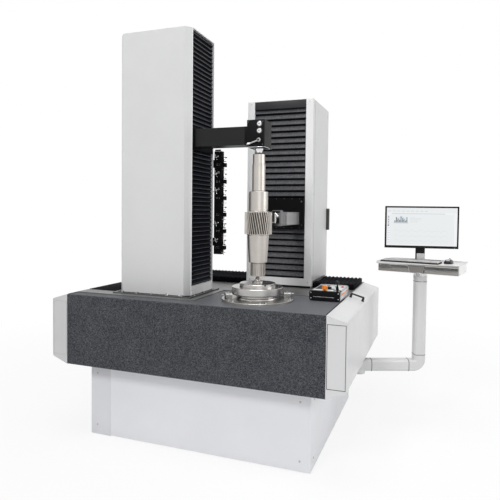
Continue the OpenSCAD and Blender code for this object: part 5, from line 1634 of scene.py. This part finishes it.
@dataclass(frozen=True)
class ConsoleTrim:
    """Display, stand and tray details of the console."""

    screen_w: float = 522.0
    screen_h: float = 293.0
    screen_z: float = 1409.0
    screen_turn: float = 23.0
    screen_back: float = 8.0
    bezel_half: float = 270.0
    bezel_w: float = 12.0
    bezel_z: tuple[float, float] = (1392.0, 1710.0)
    arm_turn: float = 21.5
    arm_root: tuple[float, float, float] = (1010.0, 92.0, 500.0)
    arm_seals: tuple[float, float] = (87.5, 371.5)
    post_seals: tuple[float, float] = (580.7, 1139.0)
    seal_sides: tuple[float, float] = (42.4, 29.4)
    tray_half: float = 302.0
    tray_z: float = 1281.0
    bracket_y: float = -122.6
    bracket_z: float = 1213.0

    def build(self) -> None:
        """Adds the pieces."""
        self.screen(tray_frame(self.screen_turn))
        self.tray(tray_frame())
        self.arm_seams()
        self.mouse(tray_frame())

    def patches(self) -> dict[ScreenPicture, list[tuple[float, float, float, float]]]:
        """The display's patches as (x0, z0, x1, z1) from the screen's lower left, in millimetres.

        Returns:
            The patches by colour.
        """
        page, pane, bar, line, mark = ScreenPicture
        out: dict[ScreenPicture, list[tuple[float, float, float, float]]] = {
            page: [(0, 0, self.screen_w, self.screen_h)],
            pane: [(36, 12, 488, 240), (6, 250, 516, 288)],
            bar: [(60 + 11 * k, 178, 68 + 11 * k, 192 + 5 * ((k * 5) % 7)) for k in range(9)],
            line: [(80 + 11 * k, 196, 86 + 11 * k, 208 + 4 * ((k * 3) % 5)) for k in range(7)],
            mark: [(40, 242, 430, 246), (5, 10, 5.8, 246), (32, 10, 33, 246), (492, 10, 493, 246)],
        }
        out[bar] += [(56, 172, 162, 175), (10, 150, 22, 160)]
        out[bar] += [(11, 168 + 13 * k, 22, 174 + 13 * k) for k in range(5)]
        out[mark] += [(12 + 34 * k, 262, 34 + 34 * k, 265) for k in range(9)]
        out[mark] += [(9, 24 + 18 * k, 26, 27 + 18 * k) for k in range(7)]
        out[mark] += [(176, 216 - 9 * k, 210 + 11 * ((k * 5) % 6), 217.4 - 9 * k) for k in range(5)]
        for k, row in product(range(60), (112, 74, 36)):
            z = row + 6 * math.sin(k * 0.7) + 3 * math.sin(k * 1.9)
            out[line].append((60 + 6.5 * k, z, 66 + 6.5 * k, z + 1.1))
        return out

    def screen(self, place: Matrix) -> None:
        """Adds the display's picture, its bezel, lamp and rear vents.

        Args:
            place: The monitor's frame.
        """
        back, left, z = self.screen_back, -self.screen_w / 2, self.screen_z
        for layer, (colour, boxes) in enumerate(self.patches().items()):
            name, y = "screen_" + colour.name.lower(), back - 20.6 - 0.12 * layer
            picture = Shape(place)
            for x0, z0, x1, z1 in boxes:
                picture.box((left + x0, y, z + z0), (left + x1, y + 0.05, z + z1))
            picture.piece(name, Body.MONITOR, Glow(name, colour.value))
        bezel, rear = Shape(place), Shape(place)
        half, rim, (low, high) = self.bezel_half, self.bezel_half - self.bezel_w, self.bezel_z
        for x0, z0, x1, z1 in ((-half, low, half, low + 19), (-half, high - 12, half, high),
                               (-half, low + 16, -rim, high - 7), (rim, low + 16, half, high - 7)):
            bezel.box((x0, back - 22.4, z0), (x1, back - 14, z1), 1.2)
        bezel.piece("screen_bezel", Body.MONITOR, SCREEN_PLASTIC)
        for x in range(-120, 115, 18):
            rear.box((x, back, 1640), (x + 10, back + 2.2, 1676), 0.9)
        rear.box((-150, back - 1, 1428), (150, back + 12, 1462), 3)
        rear.piece("screen_rear_vents", Body.MONITOR, BLACK_PLASTIC)
        slab("screen_lamp", Body.MONITOR, Glow("lamp_green", (0.2, 0.8, 0.3)), (236, back - 23, 1398),
             (246, back - 22, 1400), 0.3, place)

    def paint_tray(self, place: Matrix) -> None:
        """Gives the tray's plate, shelf and socket, the keys and the mouse their own finishes.

        Args:
            place: The tray's frame.
        """
        into = place.inverted()

        def tray_part(centre: Vector, normal: Vector) -> int:
            """Tells the tray's parts apart.

            Args:
                centre: A face's centre.
                normal: Its normal.

            Returns:
                0 for the white plate and for the shelf's floor, which is painted white in place of the
                bright background seen through the shelf, 1 for the steel edges, 2 for the socket.
            """
            spot = into @ centre
            # The shelf's floor gets the white as painted light.
            if spot.z > 1276 or (spot.z < 1218 and normal.z > 0.5 and abs(spot.x) > 48):
                return 0
            return 2 if abs(spot.x) < 68 and spot.y < -108 and spot.z > 1207 else 1

        def mouse_highlight_part(centre: Vector, _normal: Vector) -> int:
            """Tells the mouse's grey middle, a painted highlight (1), from its black shell (0)."""
            spot = into @ centre
            return int(spot.z > 1306 and 188 < spot.x < 214)

        paint_faces(frame["nodes"]["console_tray"], (TRAY, SHELF_WITH_BACKDROP, SOCKET), tray_part)
        paint_faces(frame["nodes"]["keyboard"], (KEYS, KEY_GREY),
                    lambda centre, normal: int(centre.z > 1296 and normal.z > -0.5))
        paint_faces(frame["nodes"]["mouse"], (BLACK_PLASTIC, GREY_PLASTIC), mouse_highlight_part)

    def tray(self, place: Matrix) -> None:
        """Adds the tray's edge, bracket rim and fittings, and a pale patch on the monitor's stand that is
        painted light.

        Args:
            place: The tray's frame.
        """
        self.paint_tray(place)
        half, y, z = self.tray_half, self.bracket_y, self.tray_z
        edge, rim, fittings = (Shape(place) for _ in range(3))
        edge.box((-half, 214, z), (half, 218, z + 9), 1.2)
        for x in (-half, half - 3):
            edge.box((x, -126, z), (x + 3, 216, z + 8), 1.2)
        edge.piece("tray_edge", Body.TRAY, TRAY)
        foot = self.bracket_z
        for path in (((-46, y, foot), (-65, y, z - 2)), ((46, y, foot), (65, y, z - 2)),
                     ((-46, y, foot), (46, y, foot))):
            rim.tube(path, 1.8, 8)
        rim.piece("bracket_rim", Body.TRAY, ZINC)
        # Painted light: a pale thin plate on the stand's neck where the neck looks lit.
        slab("stand_sleeve", Body.TRAY, CONSOLE, (-26, 28.6, 1296), (33.5, 31, 1350), 0.8,
             tray_frame(self.screen_turn))
        fittings.lathe([(0, 0), (13, 1), (14, 4), (14, 14), (12, 16), (6, 17), (6, 24), (0, 24)],
                       move(0, -52, 1196) @ FACE_FRONT @ move(0, 0, -3), 32)
        for face, x in ((FACE_LEFT, -298), (FACE_RIGHT, 298)):
            pan_heads(fittings, face, 4, (x,), (-60, 150), (1222,))
        fittings.piece("tray_fittings", Body.TRAY, ZINC)

    def mouse(self, place: Matrix) -> None:
        """Adds the mouse's wheel and seam.

        Args:
            place: The tray's frame.
        """
        wheel = Shape(place)
        wheel.lathe([(7, -0.5), (8.6, 1), (9, 4), (8.6, 7), (7, 8.5)], move(196, 66, 1313) @ FACE_RIGHT, 24)
        wheel.piece("mouse_wheel", Body.TRAY, RUBBER)
        slab("mouse_seam", Body.TRAY, KEYS, (199.4, 30, 1300), (200.6, 88, 1318.6), 0, place)

    def arm_seams(self) -> None:
        """Adds the dark seals in the grooves of the arm's profile."""
        a, c = self.seal_sides
        octagon = [(-a, -c), (-c, -a), (c, -a), (a, -c), (a, c), (c, a), (-c, a), (-a, c)]
        tube = move(*self.arm_root) @ turn(self.arm_turn, "Z")
        post = move(*DIM.post, 0) @ turn(self.arm_turn, "Z")
        seals = Shape()
        for x in self.arm_seals:
            seals.prism(octagon, 4.0, tube @ move(x, 0, 0) @ FACE_RIGHT)
        for z, thick in zip(self.post_seals, (3.6, 4.0)):
            seals.prism(octagon, thick, post @ move(0, 0, z))
        seals.piece("arm_seams", Body.ARM, RUBBER)


# Stage


@dataclass(frozen=True)
class Camera:
    """The photograph's view."""

    place: tuple[float, float, float] = (1.576, -3.625, 1.651)
    yaw: float = 19.2
    pitch: float = -1.9
    roll: float = 0.7
    focal_px: float = 489.0
    centre_px: tuple[float, float] = (270.4, 228.5)
    width_px: float = 500.0
    sensor_mm: float = 36.0

    def build(self) -> None:
        """Makes the camera."""
        y, p, r = (math.radians(v) for v in (self.yaw, self.pitch, self.roll))
        forward = Vector((-math.sin(y) * math.cos(p), math.cos(y) * math.cos(p), math.sin(p)))
        right = Vector((math.cos(y), math.sin(y), 0))
        up = right.cross(forward)
        side = right * math.cos(r) + up * math.sin(r)
        top = up * math.cos(r) - right * math.sin(r)
        data = bpy.data.cameras.new("photo_view")
        data.sensor_fit = "HORIZONTAL"
        data.sensor_width = self.sensor_mm
        data.lens = self.sensor_mm * self.focal_px / self.width_px
        data.shift_x = -(self.centre_px[0] - self.width_px / 2) / self.width_px
        data.shift_y = (self.centre_px[1] - self.width_px / 2) / self.width_px
        data.clip_end = 200
        camera = bpy.data.objects.new("photo_view", data)
        bpy.context.scene.collection.objects.link(camera)
        facing = Matrix((side, top, -forward)).transposed().to_4x4()
        camera.matrix_world = Matrix.Translation(self.place) @ facing
        bpy.context.scene.camera = camera


@dataclass(frozen=True)
class Lamp:
    """One soft square area light that faces a target; metres and watts."""

    name: str
    place: tuple[float, float, float]
    target: tuple[float, float, float]
    size: float
    power: float

    def build(self) -> None:
        """Makes the light."""
        data = bpy.data.lights.new(self.name, "AREA")
        data.shape = "SQUARE"
        data.size = self.size
        data.energy = self.power
        made = bpy.data.objects.new(self.name, data)
        bpy.context.scene.collection.objects.link(made)
        made.location = self.place
        way = Vector(self.target) - Vector(self.place)
        made.rotation_euler = way.to_track_quat("-Z", "Y").to_euler()


@dataclass(frozen=True)
class Studio:
    """Floor, world and lights."""

    floor: tuple[float, float, float] = (0.93, 0.93, 0.93)
    floor_size: float = 40.0
    fill: float = 0.34
    fill_colour: tuple[float, float, float] = (0.98, 0.985, 1.0)
    paper_white: float = 0.84
    fade: tuple[float, float] = (1.6, 4.5)
    lamps: tuple[Lamp, ...] = (Lamp("key", (-1.7, -9.1, 8.8), (0.3, 0, 1.3), 2.4, 425),
                               Lamp("overhead", (0.4, -1.6, 9.0), (0.2, -0.2, 1.0), 4.5, 260),
                               Lamp("front_right", (3.6, -5.6, 2.6), (0.2, 0, 1.3), 3.5, 40),
                               Lamp("right_side", (5.5, 0.6, 3.0), (0.3, 0, 1.3), 3.0, 75))

    def seen(self, g: Graph) -> Sock:
        """Adds the nodes that tell whether a ray shows the background itself.

        Args:
            g: The node tree.

        Returns:
            1 for rays from the camera, from a shiny surface or through glass, otherwise 0.
        """
        rays = g.node("ShaderNodeLightPath", {}).outputs
        found = Sock(g, rays["Is Camera Ray"])
        for name in ("Is Glossy Ray", "Is Transmission Ray"):
            found = found.math("MAXIMUM", Sock(g, rays[name]))
        return found

    def world(self) -> None:
        """Fills the surroundings with a plain pale light, white behind the object."""
        world = bpy.data.worlds.new("studio")
        bpy.context.scene.world = world
        g = Graph("studio", world)
        g.tree.nodes.clear()
        fill = g.out("ShaderNodeBackground", {0: rgba(self.fill_colour), 1: self.fill})
        white = g.out("ShaderNodeBackground", {0: rgba((1, 1, 1)), 1: 1.0})
        mixed = g.out("ShaderNodeMixShader", {0: self.seen(g), 1: fill, 2: white})
        g.node("ShaderNodeOutputWorld", {0: mixed})

    def paper(self) -> bpy.types.Material:
        """Builds the floor's paper, which turns wholly white away from the machine.

        Returns:
            The material.
        """
        g = Graph("studio_floor")
        tone = g.mix(g.noise(1.5, 2), self.floor, tuple(c * 0.99 for c in self.floor))
        paper = g.finish(Base_Color=tone, Roughness=0.9, Specular_IOR_Level=0.1)
        x, y = g.axis("X"), g.axis("Y")
        near, far = self.fade
        white = g.remap((x * x + y * y) ** 0.5, near, far, self.paper_white, 1.0)
        surface = g.tree.nodes["Material Output"].inputs[0]
        shader = Sock(g, g.tree.nodes["Principled BSDF"].outputs[0])
        glow = g.out("ShaderNodeEmission", {})
        g.feed(surface, g.out("ShaderNodeMixShader", {0: self.seen(g) * white, 1: shader, 2: glow}))
        return paper

    def build(self) -> None:
        """Makes the stage."""
        self.world()
        bm = bmesh.new()
        bmesh.ops.create_grid(bm, x_segments=1, y_segments=1, size=self.floor_size)
        mesh = bpy.data.meshes.new("studio_floor")
        bm.to_mesh(mesh)
        bm.free()
        floor = bpy.data.objects.new("studio_floor", mesh)
        bpy.context.scene.collection.objects.link(floor)
        mesh.materials.append(self.paper())
        for lamp in self.lamps:
            lamp.build()


def dress_nodes() -> None:
    """Gives each CAD node its finish and softens the edges of the boxy ones."""
    rounding: dict[str, float] = {
        "tailstock_housing": 2.0, "column_housing": 2.0, "pedestal_front_panel": 2.5,
        "pedestal_side_panels": 2.5,
        "tailstock_arm": 3.0, "tailstock_head": 2.0,
        "probe_slide": 1.5, "measuring_ram": 1.0, "stylus_rack": 1.5, "console_tray": 1.0,
        "monitor_stand": 2.0,
        "keyboard": 0.8, "table_clamps": 1.0, "arm_bracket": 2.0, "monitor": 1.5,
    }
    for name, node in frame["nodes"].items():
        node.data.materials.clear()
        node.data.materials.append(PALETTE.get(NODE_FINISH[name]))
        if name in rounding:
            weld = node.modifiers.new("weld", "WELD")
            weld.merge_threshold = 0.00001
            bevel = node.modifiers.new("edges", "BEVEL")
            bevel.width = rounding[name] * MM
            bevel.segments = 2
            bevel.limit_method = "ANGLE"
            bevel.angle_limit = math.radians(40)
            bevel.use_clamp_overlap = True
            bevel.harden_normals = False


def build_bellows() -> None:
    """Makes all six folded covers."""
    foot, gap, tail_top, column_top = 1123.3, 0.3, 2914.7, 2485.7
    arm_low, arm_high = DIM.head_z - 4 - gap, DIM.head_z + 160 + gap
    plate_low, plate_high = DIM.plate_z0 - gap, DIM.plate_z0 + DIM.plate_h + gap
    tail = {"corner": (-92.0, -575.0), "heading": 90.0, "width": 329.0, "pitch": 31.0, "depth": 12.0,
            "cloth": BELLOWS, "lip": BELLOWS_HIGHLIGHT}
    for name, node, ends, low, high, fixed_low, sizes in (
            ("tail_bellows_low", "tailstock_lower_bellows", (Body.BED, Body.TAIL),
             foot, arm_low, True, tail),
            ("tail_bellows_high", "tailstock_upper_bellows", (Body.BED, Body.TAIL),
             arm_high, tail_top, False, tail),
            ("column_bellows_low", "column_lower_bellows", (Body.COLUMN, Body.SLIDE),
             foot, plate_low, True, {}),
            ("column_bellows_high", "column_upper_bellows", (Body.COLUMN, Body.SLIDE),
             plate_high, column_top, False, {})):
        UprightBellows(name, node, *ends, low, high, fixed_low, **sizes).build()
    end = DIM.right - 8
    BedBellows("bed_bellows_left", "x_bellows_left", -end, DIM.column_x0 - gap, True).build()
    BedBellows("bed_bellows_right", "x_bellows_right", DIM.column_x1 + gap, end, False).build()


def main() -> None:
    logging.basicConfig(level=logging.INFO)
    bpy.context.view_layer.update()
    Camera().build()
    Studio().build()
    bpy.context.scene.view_settings.view_transform = "Standard"
    dress_nodes()
    build_bellows()
    known = set(bpy.data.objects.keys())
    for part in (Pedestal, BedTrim, RotaryTrim, TailstockTrim, ColumnTrim, SlideTrim, RackTrim, PendantTrim,
                 ConsoleTrim):
        part().build()
        made = set(bpy.data.objects.keys()) - known
        known |= made
        LOG.info("%s: %s", part.__name__, ", ".join(sorted(made)))


if __name__ == "__main__":
    main()
